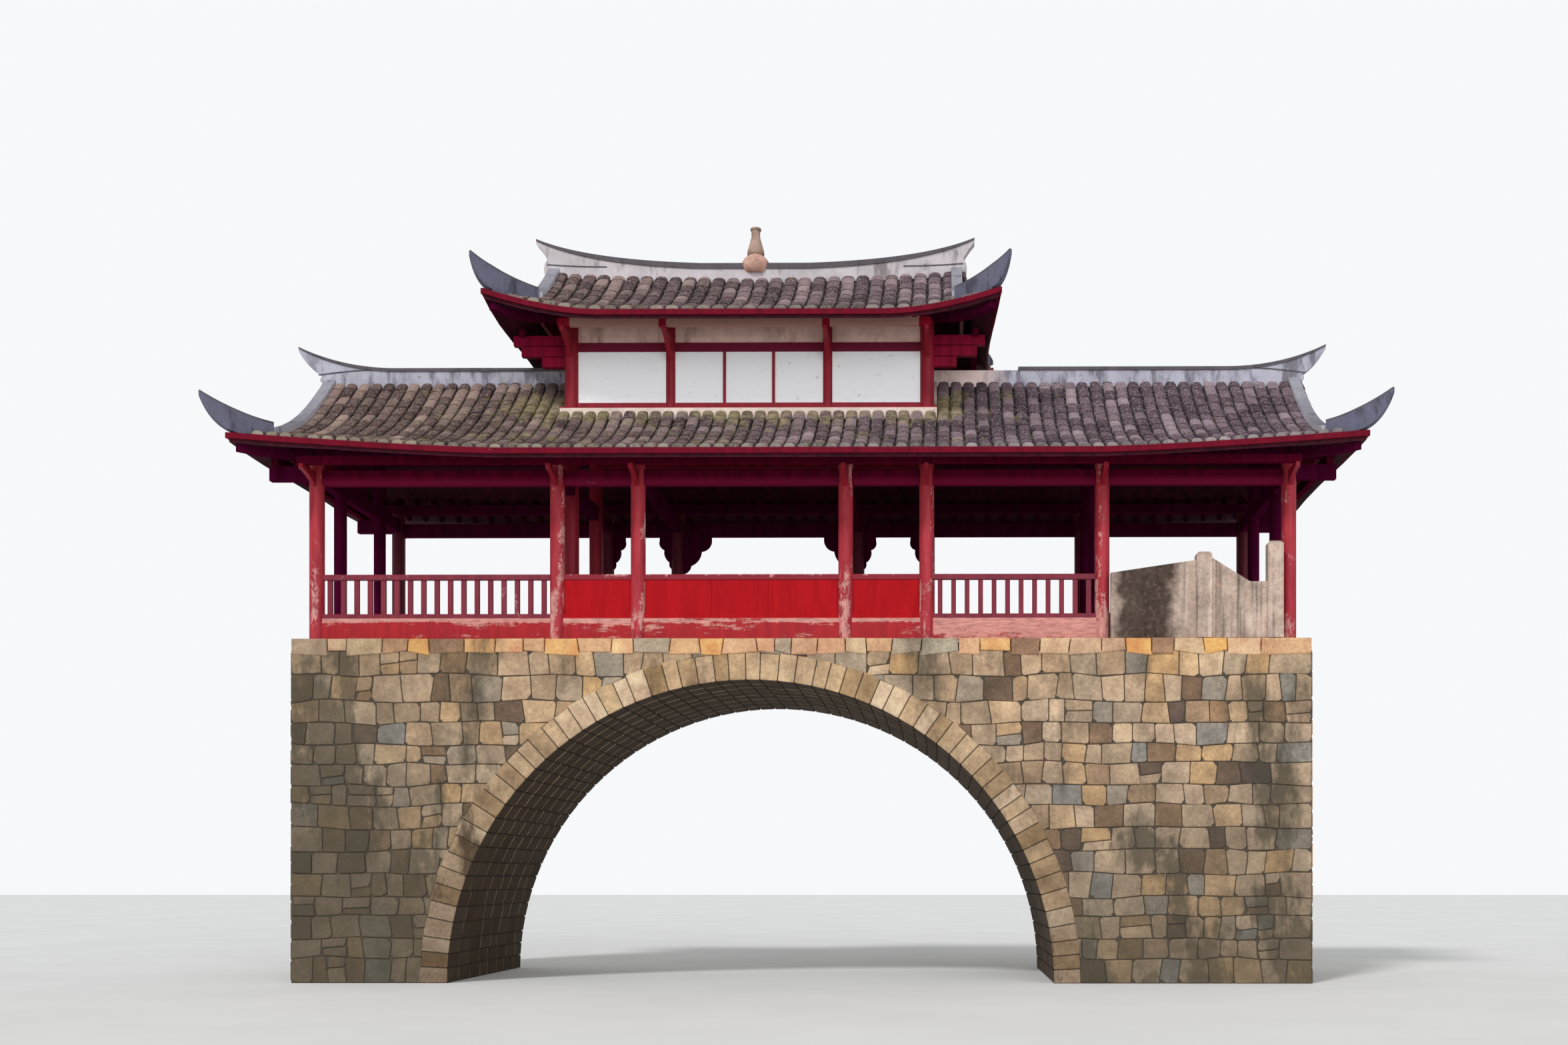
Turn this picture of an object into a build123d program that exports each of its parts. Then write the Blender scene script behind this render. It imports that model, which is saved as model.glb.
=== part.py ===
from build123d import *
from dataclasses import dataclass
import math
import os

# A roofed timber gallery with a raised tower, standing on a stone arch.
# X runs along the bridge, Y across it and Z up, in millimetres.
# The origin is at the foot of the walls, under the middle of the gallery.

# Plan of the gallery
gallery_length = 15260
gallery_width = 3600
aisle_width = 930
tower_shift = -940
middle_bay = 3260
side_bay = 1270
right_bay = 2750

# Stone arch, walls and deck
arch_radius = 4740
ring_depth = 380
arch_shift = 160
crown_bed = 50
wall_setback = 250
wall_overrun = 300
coping_height = 200
coping_depth = 500
coping_proud = 50

# Stone slab parapet of the right end bay
slab_thickness = 120
slab_setback = 30
slab_low_height = 1010
slab_high_height = 1410
slab_post_width = 240
slab_post_thickness = 200
slab_post_head = 110
slab_post_chamfer = 40
slab_post_spacing = 1105
slab_end_gap = 20
slab_fall = 370
slab_fall_length = 590

# Timber posts and beams
post_diameter = 230
inner_post_diameter = 200
beam_underside = 2430
beam_height = 230
beam_thickness = 120
cross_beam_height = 220
cross_beam_thickness = 140
cross_beam_lift = 60
purlin_width = 140
purlin_height = 160
eave_purlin_width = 100
eave_purlin_height = 120
eave_purlin_setback = 350
king_post_width = 140
corner_beam_thickness = 120
corner_beam_depth = 190
corner_beam_taper = 0.5
corner_beam_gap = 10
end_purlin_setback = 250
end_arm_overrun = 60

# Parapets between the posts
sill_height = 340
sill_thickness = 110
rail_thickness = 90
bottom_rail_height = 70
top_rail_height = 80
parapet_height = 1030
board_thickness = 45
baluster_width = 75
baluster_thickness = 50
baluster_pitch = 200

# Curved boards in front of the post heads, and carved brackets at the rear
corbel_thickness = 70
corbel_drop = 300
corbel_nose = 70
corbel_overrun = 20
corbel_belly = 0.3
bracket_thickness = 60
bracket_drop = 670
bracket_reach = 500
small_bracket_drop = 600
small_bracket_reach = 210

# Corners between the scallops of a bracket, as shares of its reach and drop
scallops = [(0, 0.12), (0.33, 0.39), (0.67, 0.77), (1, 1)]
scallop_depth = 0.05

# Tower walls, the kerb's height above the lower eave
tower_post_diameter = 230
stud_diameter = 160
stud_spacing = 2560
kerb_thickness = 110
kerb_rise = 1140
kerb_step = 90
tower_rail_thickness = 100
tower_bottom_rail = 100
panel_height = 835
middle_rail_height = 142
frieze_height = 433
panel_thickness = 50
mullion_width = 45
tower_purlin_setback = 370
tower_corbel_drop = 420
ledger_height = 200
ledger_width = 140

# Stepped arms beyond the tower's end posts: reach of each, from the top down
arm_reaches = [940, 810, 480]
arm_height = 160
arm_width = 110
arm_gap = 15
arm_seat = 30

# Roofs
roof_thickness = 140
edge_board_thickness = 40
edge_board_height = 85
gable_thickness = 60
corner_strip = 10
end_flare = 150
lift_fade = 0.3

# How far the roofs reach past the posts, to the gable, hip and eave
lower_gable_overhang = 590
lower_end_overhang = 970
lower_eave_overhang = 900
lower_hip_overhang = 500
lower_eave_lift = 110
upper_gable_overhang = 600
upper_end_overhang = 1140
upper_eave_overhang = 1000
upper_hip_overhang = 330
upper_eave_drop = 250

# Where the slope bends over the purlins, as shares of its run from the ridge
slope_shares = [1, 0.87, 0.7, 0.5, 0.33, 0.16, 0]
skirt_shares = [1, 0.85, 0.65, 0.4]

# Ridges
ridge_width = 200
ridge_bedding = 110
ridge_tip_depth = 45
ridge_bend_share = 0.75
ridge_scroll = 60
coping_cap_overhang = 20
coping_tip_height = 25
slope_ridge_width = 180
slope_ridge_height = 150
slope_ridge_setback = 20
hip_ridge_width = 130
hip_tip_width = 50
bare_ridge = 1500

# Flying ends of the main ridges, from the gable and the top of the slopes
lower_band = 180
lower_cap = 55
lower_tip_reach = 420
lower_tip_rise = 575
lower_bend_run = 1160
lower_bend_rise = 20
lower_notch_rise = 90
lower_belly = 30
upper_band = 160
upper_cap = 90
upper_tip_reach = 190
upper_tip_rise = 640
upper_bend_run = 2600
upper_bend_rise = 60
upper_notch_rise = 320
upper_belly = -8

# Flying ends of the hips: reach past the eave, tip above the eave, height on the slope
lower_hip_flight = 420
lower_hip_tip = 780
lower_hip_head = 200
upper_hip_flight = 240
upper_hip_tip = 840
upper_hip_head = 180

# The tower's rear hips stop short, at the eave
rear_hip_flight = 20
rear_hip_tip = 430

# Thinning of the hip plates
hip_tip_depth = 45
hip_bend_share = 0.8
hip_bend_rise = 20
hip_belly_share = 0.6
hip_belly_rise = 60
hip_corner_inset = 120
hip_corner_rise = 10

# Finial on the tower: bowl, collar, vase, neck and lip
finial_sink = 60
bowl_foot_radius = 170
bowl_radius = 232
bowl_height = 285
collar_radius = 130
collar_height = 35
vase_radius = 143
vase_height = 55
neck_radius = 74
neck_rise = 300
lip_radius = 90
lip_height = 30
finial_height = 770

# Clearance between pieces that meet on a curved face
joint = 0.3

bridge_width = gallery_width + 2 * wall_setback
deck = arch_radius + ring_depth + crown_bed + coping_height
arch_x = tower_shift + arch_shift
wall_end = gallery_length / 2 + wall_overrun
outer_row = gallery_width / 2
inner_row = outer_row - aisle_width
corner_x = gallery_length / 2
inner_frame = middle_bay / 2
tower_frame = inner_frame + side_bay
right_frame = tower_frame + right_bay
tower_posts_x = [tower_shift - tower_frame, tower_shift + tower_frame]
studs_x = [tower_shift - stud_spacing / 2, tower_shift + stud_spacing / 2]
posts_x = [
    -corner_x,
    tower_shift - tower_frame,
    tower_shift - inner_frame,
    tower_shift + inner_frame,
    tower_shift + tower_frame,
    tower_shift + right_frame,
    corner_x,
]
inner_posts_x = [posts_x[0], posts_x[5], posts_x[6]]

beam_z = deck + beam_underside
lower_eave_z = beam_z + beam_height + lower_eave_lift
kerb_z = lower_eave_z + kerb_rise
panel_z = kerb_z + tower_bottom_rail
middle_rail_z = panel_z + panel_height
frieze_z = middle_rail_z + middle_rail_height
plate_z = frieze_z + frieze_height


@dataclass
class Roof:
    """A hip-and-gable roof with sagging slopes and upturned corners."""

    centre_x: float
    gable_x: float
    eave_x: float
    eave_y: float
    hip_y: float
    eave_z: float
    rise: float
    sag: float
    lift: float
    lift_length: float
    lift_power: float
    end_rise: float
    ridge_lift: float

    def slope_z(self, y):
        """Height of the plain slope at a distance from the ridge line."""
        share = abs(y) / self.eave_y
        return self.eave_z + self.rise * (1 - share) - 4 * self.sag * share * (1 - share)

    def lift_at(self, x):
        """How far the eave has risen at a place along it."""
        start = self.eave_x - self.lift_length
        share = max(0, abs(x - self.centre_x) - start) / self.lift_length
        return self.lift * share**self.lift_power

    def ridge_lift_at(self, x):
        """How far the ridge line has risen at a place along it."""
        return self.ridge_lift * ((x - self.centre_x) / self.gable_x) ** 2

    def front_z(self, x, y):
        """Top of the front and rear slopes, with the corners and the ridge ends turned up."""
        fade_start = lift_fade * self.eave_y
        share = max(0, abs(y) - fade_start) / (self.eave_y - fade_start)
        ridge_rise = self.ridge_lift_at(x) * (1 - abs(y) / self.eave_y)
        return self.slope_z(y) + self.lift_at(x) * share**2 + ridge_rise

    def hip_at(self, x):
        """Distance of the hip line from the ridge line."""
        share = self.end_share(x)
        return self.hip_y + (self.eave_y - corner_strip - self.hip_y) * share

    def end_share(self, x):
        """0 at the gable and 1 at the corners of the end eave."""
        return max(0, abs(x - self.centre_x) - self.gable_x) / (self.eave_x - self.gable_x)

    def end_at(self, y):
        """Distance of the end eave from the middle, drawn in between its corners."""
        return self.eave_x - end_flare * (1 - (y / self.eave_y) ** 2)

    def top_z(self, x, y):
        """Top of the roof at any place."""
        hip = self.hip_at(x)
        if self.end_share(x) == 0 or abs(y) >= hip:
            return self.front_z(x, y)
        gable_foot = self.front_z(self.centre_x + self.gable_x, self.hip_y)
        share = (abs(x - self.centre_x) - self.gable_x) / (self.end_at(y) - self.gable_x)
        middle = gable_foot + (self.eave_z + self.end_rise - gable_foot) * share
        return middle + (self.front_z(x, hip) - middle) * abs(y / hip)**4

    def under_z(self, x, y):
        """Underside of the roof at any place."""
        return self.top_z(x, y) - roof_thickness

    def ridge_z(self):
        """Top of the slopes at the ridge line."""
        return self.eave_z + self.rise

    def stations(self):
        """Places along the front slope where its section is drawn."""
        start = self.eave_x - self.lift_length
        steps = [start + (self.gable_x - start) * i / 5 for i in range(6)]
        ends = [self.centre_x - s for s in reversed(steps)]
        return ends + [self.centre_x] + [self.centre_x + s for s in steps]


lower = Roof(
    centre_x=0,
    gable_x=corner_x + lower_gable_overhang,
    eave_x=corner_x + lower_end_overhang,
    eave_y=outer_row + lower_eave_overhang,
    hip_y=outer_row + lower_hip_overhang,
    eave_z=lower_eave_z,
    rise=1850,
    sag=230,
    lift=240,
    lift_length=4000,
    lift_power=1.3,
    end_rise=130,
    ridge_lift=0,
)
upper = Roof(
    centre_x=tower_shift,
    gable_x=tower_frame + upper_gable_overhang,
    eave_x=tower_frame + upper_end_overhang,
    eave_y=inner_row + upper_eave_overhang,
    hip_y=inner_row + upper_hip_overhang,
    eave_z=plate_z - upper_eave_drop,
    rise=1190,
    sag=120,
    lift=335,
    lift_length=1750,
    lift_power=1.7,
    end_rise=30,
    ridge_lift=120,
)

purlin_top = lower.under_z(0, outer_row + purlin_width / 2) - joint
inner_purlin_top = lower.under_z(0, inner_row + purlin_width / 2) - joint
ridge_purlin_top = lower.under_z(0, purlin_width / 2) - joint
eave_purlin_y = lower.eave_y - eave_purlin_setback
eave_purlin_top = lower.under_z(0, eave_purlin_y + eave_purlin_width / 2) - joint

plate_top = upper.under_z(tower_shift, inner_row + tower_rail_thickness / 2) - joint
tower_purlin_y = upper.eave_y - tower_purlin_setback
tower_purlin_top = upper.under_z(tower_shift, tower_purlin_y + eave_purlin_width / 2) - joint
kerb_y = inner_row + tower_rail_thickness / 2 + kerb_thickness
kerb_x = tower_frame + tower_rail_thickness / 2 + kerb_thickness


def block(x0, x1, y0, y1, z0, z1):
    """A block between two corners."""
    centre = Pos((x0 + x1) / 2, (y0 + y1) / 2, (z0 + z1) / 2)
    return centre * Box(abs(x1 - x0), abs(y1 - y0), abs(z1 - z0))


def post(x, y, diameter, z0, z1):
    """A round post."""
    return Pos(x, y, (z0 + z1) / 2) * Cylinder(diameter / 2, z1 - z0)


def tall_posts(places, diameter):
    """Post shapes with the joint clearance, to notch what meets them."""
    return [post(x, y, diameter + 2 * joint, 0, upper.ridge_z()) for x, y in places]


def notched(shape, cutters):
    """A shape with the posts cut out of it."""
    for cutter in cutters:
        shape = shape - cutter
    return shape


def across_profile(points, x0, x1):
    """A shape drawn across the bridge, as (y, z) points, between two places."""
    outline = Polyline(*[(x0, y, z) for y, z in points], close=True)
    return extrude(make_face(outline), amount=x1 - x0, dir=(1, 0, 0))


def along_profile(edges, y0, y1):
    """A shape drawn along the bridge between two distances from its middle."""
    return extrude(make_face(edges), amount=y1 - y0, dir=(0, 1, 0))


def both_sides(shape):
    """A front piece and its mirror at the rear."""
    return [shape, mirror(shape, Plane.XZ)]


def all_corners(shape, centre_x):
    """A piece at one corner, and its mirrors at the other three."""
    middle = Plane((centre_x, 0, 0), x_dir=(0, 1, 0), z_dir=(1, 0, 0))
    pair = [shape, mirror(shape, middle)]
    return pair + [mirror(piece, Plane.XZ) for piece in pair]


def save(name, pieces):
    """Write the solids of one node."""
    solids = [solid for piece in pieces for solid in piece.solids()]
    shape = solids[0] if len(solids) == 1 else Compound(children=solids)
    shape.label = name
    export_step(shape, f"parts/{name}.step")


outer_places = [(x, side * outer_row) for x in posts_x for side in (-1, 1)]
inner_places = [(x, side * inner_row) for x in inner_posts_x for side in (-1, 1)]
tower_places = [(x, side * inner_row) for x in tower_posts_x for side in (-1, 1)]
stud_places = [(x, side * inner_row) for x in studs_x for side in (-1, 1)]
outer_cutters = tall_posts(outer_places, post_diameter)
inner_cutters = tall_posts(inner_places, inner_post_diameter)
tower_cutters = tall_posts(tower_places, tower_post_diameter)
stud_cutters = tall_posts(stud_places, stud_diameter)


def arch_ring(radius, depth):
    """The half-round ring of the arch across the whole bridge."""
    ring = Circle(radius + depth) - Circle(radius)
    half = ring & Pos(0, radius) * Rectangle(4 * radius, 2 * radius)
    return Pos(arch_x, 0, 0) * extrude(Plane.XZ * half, bridge_width / 2, both=True)


def masonry(x0, x1):
    """A mass of wall beside the arch, cut to the ring's back."""
    back_radius = arch_radius + ring_depth + joint
    back = Pos(arch_x, 0, 0) * Rot(90, 0, 0) * Cylinder(back_radius, 2 * bridge_width)
    mass = block(x0, x1, -bridge_width / 2, bridge_width / 2, 0, deck - coping_height)
    return mass - back


def coping():
    """The course of squared stones along the front edge."""
    face = bridge_width / 2 + coping_proud
    return block(-wall_end, wall_end, -face, coping_depth - face, deck - coping_height, deck)


def deck_paving():
    """The floor between the copings."""
    edge = bridge_width / 2 + coping_proud - coping_depth
    return block(-wall_end, wall_end, -edge, edge, deck - coping_height, deck)


slab_face = bridge_width / 2 - slab_setback
slab_start = posts_x[5] + post_diameter / 2
slab_end = corner_x - post_diameter / 2 - slab_end_gap
slab_last_x = slab_end - slab_post_width / 2
slab_posts_x = [slab_last_x - slab_post_spacing, slab_last_x]


def slab_height(x):
    """Height of the slab parapet, which climbs to the right."""
    share = (x - slab_start) / (slab_end - slab_start)
    return slab_low_height + (slab_high_height - slab_low_height) * share


def slab_posts():
    """The stone posts of the slab parapet, with sloping heads."""
    posts = []
    for x in slab_posts_x:
        top = deck + slab_height(x) + slab_post_head
        middle = -slab_face + slab_thickness / 2
        shape = block(
            x - slab_post_width / 2,
            x + slab_post_width / 2,
            middle - slab_post_thickness / 2,
            middle + slab_post_thickness / 2,
            deck,
            top,
        )
        posts.append(chamfer(shape.edges().group_by(Axis.Z)[-1], slab_post_chamfer))
    return posts


def slab_top(left, right):
    """Places and heights along a slab's top, from right to left; the last one falls to the right."""
    high = slab_height(left)
    if left < slab_posts_x[0]:
        return [(right, slab_height(right)), (left, high)]
    return [(right, high - slab_fall), (left + slab_fall_length, high - slab_fall), (left, high)]


def slab_runs():
    """The upright slabs between the stone posts."""
    runs = []
    left = slab_start
    for x in slab_posts_x:
        right = x - slab_post_width / 2
        top = [(place, -slab_face, deck + height) for place, height in slab_top(left, right)]
        outline = Polyline((left, -slab_face, deck), (right, -slab_face, deck), *top, close=True)
        runs.append(along_profile(outline, -slab_face, slab_thickness - slab_face))
        left = x + slab_post_width / 2
    return runs


def timber_bays():
    """The bays that have a timber parapet, as pairs of posts."""
    return list(zip(posts_x[:5], posts_x[1:6]))


def bay_block(bay, thickness, z0, z1):
    """A member between two front posts, cut to their round faces."""
    x0, x1 = bay
    shape = block(x0, x1, -outer_row - thickness / 2, -outer_row + thickness / 2, z0, z1)
    return notched(shape, outer_cutters)


def sills():
    """The base boards between the front posts."""
    return [bay_block(bay, sill_thickness, deck, deck + sill_height) for bay in timber_bays()]


def rails(bay):
    """The bottom and top rail of a parapet."""
    foot = deck + sill_height
    head = deck + parapet_height
    bottom = bay_block(bay, rail_thickness, foot, foot + bottom_rail_height)
    top = bay_block(bay, rail_thickness, head - top_rail_height, head)
    return bottom + top


def boarded_parapet(bay):
    """A parapet closed with boards."""
    z0 = deck + sill_height + bottom_rail_height
    boards = bay_block(bay, board_thickness, z0, deck + parapet_height - top_rail_height)
    return rails(bay) + boards


def balustrade(bay):
    """A parapet of upright balusters between two rails."""
    x0, x1 = bay
    panel = rails(bay)
    z0 = deck + sill_height + bottom_rail_height
    z1 = deck + parapet_height - top_rail_height
    count = round((x1 - x0 - post_diameter) / baluster_pitch)
    for i in range(1, count):
        x = x0 + (x1 - x0) * i / count
        half = baluster_thickness / 2
        panel = panel + block(
            x - baluster_width / 2, x + baluster_width / 2, -outer_row - half, half - outer_row, z0, z1
        )
    return panel


def outer_posts():
    """The front row of posts, up to the wall purlin."""
    return [post(x, -outer_row, post_diameter, deck, purlin_top - purlin_height) for x in posts_x]


def inner_posts():
    """The inner posts outside the tower, up to the inner purlin."""
    top = inner_purlin_top - purlin_height
    return [post(x, y, inner_post_diameter, deck, top) for x, y in inner_places]


def tie_beams():
    """The long beam between the front posts."""
    bays = zip(posts_x[:-1], posts_x[1:])
    return [bay_block(bay, beam_thickness, beam_z, beam_z + beam_height) for bay in bays]


def cross_beams():
    """The beams across the gallery at each frame."""
    beams = []
    z0 = beam_z + cross_beam_lift
    for x in posts_x:
        half = cross_beam_thickness / 2
        beam = block(x - half, x + half, -outer_row, outer_row, z0, z0 + cross_beam_height)
        beams.append(notched(beam, outer_cutters + inner_cutters + tower_cutters))
    return beams


def king_posts():
    """Short posts that carry the ridge purlin outside the tower."""
    z0 = beam_z + cross_beam_lift + cross_beam_height
    half = king_post_width / 2
    top = ridge_purlin_top - purlin_height
    return [block(x - half, x + half, -half, half, z0, top) for x in inner_posts_x]


def beside_tower():
    """The two stretches of roof beside the tower, as pairs of places."""
    return [(-lower.gable_x, tower_shift - kerb_x), (tower_shift + kerb_x, lower.gable_x)]


def purlins():
    """The long purlins under the lower roof."""
    reach = lower.gable_x - gable_thickness
    half = purlin_width / 2
    low = purlin_top - purlin_height
    runs = [block(-reach, reach, -outer_row - half, half - outer_row, low, purlin_top)]
    for x0, x1 in beside_tower():
        start = max(x0, -reach)
        end = min(x1, reach)
        z0 = inner_purlin_top - purlin_height
        runs.append(block(start, end, -inner_row - half, half - inner_row, z0, inner_purlin_top))
    return runs


def ridge_purlins():
    """The purlin under the lower ridge, on both sides of the tower."""
    reach = lower.gable_x - gable_thickness
    half = purlin_width / 2
    z0 = ridge_purlin_top - purlin_height
    return [
        block(max(x0, -reach), min(x1, reach), -half, half, z0, ridge_purlin_top)
        for x0, x1 in beside_tower()
    ]


def eave_purlin():
    """The front eave purlin of the lower roof, on the corbels."""
    half = eave_purlin_width / 2
    z0 = eave_purlin_top - eave_purlin_height
    run = corner_x + corbel_thickness
    return block(-run, run, -eave_purlin_y - half, half - eave_purlin_y, z0, eave_purlin_top)


def corbel(x, post_y, reach_y, top, drop):
    """A thin curved board in front of a post head."""
    nose = reach_y + eave_purlin_width / 2 + corbel_overrun
    foot = Line((x, -post_y, top - drop), (x, -post_y, top))
    head = Line((x, -post_y, top), (x, -nose, top))
    end = Line((x, -nose, top), (x, -nose, top - corbel_nose))
    middle = (x, -(post_y + nose) / 2, top - corbel_nose - (drop - corbel_nose) * corbel_belly)
    belly = ThreePointArc((x, -nose, top - corbel_nose), middle, (x, -post_y, top - drop))
    outline = make_face([foot, head, end, belly])
    return extrude(outline, corbel_thickness / 2, dir=(1, 0, 0), both=True)


def corbels():
    """The curved boards that carry the lower eave."""
    top = eave_purlin_top - eave_purlin_height
    boards = [corbel(x, outer_row, eave_purlin_y, top, corbel_drop) for x in posts_x]
    return [notched(board, outer_cutters) for board in boards]


def scalloped_bracket(x, side, reach, drop):
    """A carved board in the corner between a rear post and the beam."""
    foot_x = x + side * post_diameter / 4
    end_x = x + side * (post_diameter / 2 + reach)
    corners = [(end_x + (foot_x - end_x) * run, beam_z - drop * fall) for run, fall in scallops]
    y = outer_row - bracket_thickness / 2
    edges = [
        Line((foot_x, y, beam_z), (end_x, y, beam_z)),
        Line((end_x, y, beam_z), (end_x, y, corners[0][1])),
    ]
    for (x0, z0), (x1, z1) in zip(corners[:-1], corners[1:]):
        out = drop * scallop_depth
        bulge = ((x0 + x1) / 2 + side * out, y, (z0 + z1) / 2 - out)
        edges.append(ThreePointArc((x0, y, z0), bulge, (x1, y, z1)))
    edges.append(Line((foot_x, y, beam_z - drop), (foot_x, y, beam_z)))
    board = along_profile(edges, y, y + bracket_thickness)
    return notched(board, outer_cutters)


def rear_brackets():
    """The carved brackets of the three middle bays at the rear."""
    brackets = []
    for left, right in zip(posts_x[1:4], posts_x[2:5]):
        wide = right - left > 2 * bracket_reach + 2 * post_diameter
        reach = bracket_reach if wide else small_bracket_reach
        drop = bracket_drop if wide else small_bracket_drop
        brackets.append(scalloped_bracket(left, 1, reach, drop))
        brackets.append(scalloped_bracket(right, -1, reach, drop))
    return brackets


def corner_beam(roof, post_x, post_y, radius, carriers):
    """An upturned diagonal beam from a corner post to the corner of the eave."""
    corner = (roof.eave_x, -roof.eave_y)
    length = math.hypot(corner[0] - post_x, corner[1] + post_y)
    direction = ((corner[0] - post_x) / length, (corner[1] + post_y) / length)
    steps = 6
    side = (-direction[1] * corner_beam_thickness / 2, direction[0] * corner_beam_thickness / 2)
    reach = length - corner_beam_thickness
    upper_points = []
    lower_points = []
    for i in range(steps + 1):
        along = reach * i / steps
        x = roof.centre_x + post_x + direction[0] * along
        y = -post_y + direction[1] * along
        heights = [roof.under_z(x + s * side[0], y + s * side[1]) for s in (-1, 0, 1)]
        top = min(heights) - corner_beam_gap
        depth = corner_beam_depth * (1 - corner_beam_taper * i / steps)
        upper_points.append((x - side[0], y - side[1], top))
        lower_points.append((x - side[0], y - side[1], top - depth))
    outline = Polyline(*upper_points, *reversed(lower_points), close=True)
    normal = (side[0], side[1], 0)
    beam = extrude(make_face(outline), amount=corner_beam_thickness, dir=normal)
    pin = post(roof.centre_x + post_x, -post_y, 2 * radius + 2 * joint, 0, roof.ridge_z())
    return notched(beam - pin, carriers)


def slope(roof):
    """The front slope between the gables, lofted through its sections."""
    sections = []
    for x in roof.stations():
        ys = [-share * roof.eave_y for share in slope_shares]
        top = [(x, y, roof.front_z(x, y)) for y in ys]
        under = [(x, y, roof.front_z(x, y) - roof_thickness) for y in reversed(ys)]
        sections.append(make_face(Polyline(*top, *under, close=True)))
    return loft(sections, ruled=True)


def end_plan(roof, inside, outside):
    """A strip along the curved end eave in plan, as a tall block."""
    corner = roof.centre_x + roof.eave_x
    width = roof.eave_y + edge_board_thickness
    middle = corner - end_flare
    edges = []
    for offset in (-inside, outside):
        ends = [(corner + offset, -width), (corner + offset, width)]
        edges.append(ThreePointArc(ends[0], (middle + offset, 0), ends[1]))
    edges.append(Line((corner - inside, -width), (corner + outside, -width)))
    edges.append(Line((corner - inside, width), (corner + outside, width)))
    return extrude(make_face(edges), roof.ridge_z())


def half_skirt(roof, hip):
    """Distances from the ridge line where an end section is drawn, from the eave in."""
    return [roof.eave_y, (roof.eave_y + hip) / 2] + [share * hip for share in skirt_shares]


def skirt(roof):
    """The small end slope below the gable, with both turned-up corners."""
    sections = []
    steps = 3
    for i in range(steps + 1):
        x = roof.centre_x + roof.gable_x + (roof.eave_x - roof.gable_x) * i / steps
        half = half_skirt(roof, roof.hip_at(x))
        ys = [-y for y in half] + [0] + list(reversed(half))
        top = [(x, y, roof.top_z(x, y)) for y in ys]
        under = [(x, y, roof.under_z(x, y)) for y in reversed(ys)]
        sections.append(make_face(Polyline(*top, *under, close=True)))
    return loft(sections, ruled=True) & end_plan(roof, roof.eave_x, 0)


def other_end(shape, roof):
    """The mirror of a piece at the roof's other end."""
    middle = Plane((roof.centre_x, 0, 0), x_dir=(0, 1, 0), z_dir=(1, 0, 0))
    return mirror(shape, middle)


def both_ends(shape, roof):
    """A piece and its mirror at the roof's other end."""
    return [shape, other_end(shape, roof)]


def raised_slopes(roof):
    """Both slopes, lifted by the joint clearance, to notch what stands on them."""
    front = Pos(0, 0, joint) * slope(roof)
    return both_sides(front)


def front_edge_board(roof):
    """The fascia along the front eave."""
    start = roof.eave_x - roof.lift_length
    steps = 8
    right = [start + roof.lift_length * i / steps for i in range(steps + 1)]
    right.append(roof.eave_x + edge_board_thickness)
    xs = [roof.centre_x - x for x in reversed(right)] + [roof.centre_x + x for x in right]
    inside = [min(roof.eave_x, abs(x - roof.centre_x)) for x in xs]
    heights = [roof.eave_z + roof.lift_at(roof.centre_x + distance) for distance in inside]
    y = -roof.eave_y
    top = [(x, y, z) for x, z in zip(xs, heights)]
    under = [(x, y, z - edge_board_height) for x, z in zip(xs, heights)]
    outline = Polyline(*top, *reversed(under), close=True)
    return extrude(make_face(outline), amount=edge_board_thickness, dir=(0, -1, 0))


def end_edge_board(roof):
    """The fascia along the end eave."""
    corner = roof.centre_x + roof.eave_x
    half = half_skirt(roof, roof.hip_at(corner))
    ys = [-y for y in half] + [0] + list(reversed(half))
    top = [(y, roof.top_z(roof.centre_x + roof.end_at(y), y)) for y in ys]
    under = [(y, z - edge_board_height) for y, z in reversed(top)]
    board = across_profile(top + under, corner - 2 * end_flare, corner + edge_board_thickness)
    return board & end_plan(roof, 0, edge_board_thickness)


def gable(roof):
    """The boarded triangle that closes the end above the skirt."""
    x = roof.centre_x + roof.gable_x - gable_thickness
    foot = roof.front_z(x, roof.hip_y) - roof_thickness
    ys = [share * roof.eave_y for share in slope_shares if share * roof.eave_y < roof.hip_y]
    half = [(y, roof.front_z(x, y) - roof_thickness - joint) for y in ys]
    left = [(-y, z) for y, z in half]
    width = half[0][0]
    points = [(-width, foot)] + left + list(reversed(half[:-1])) + [(width, foot)]
    return across_profile(points, x, x + gable_thickness)


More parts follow.
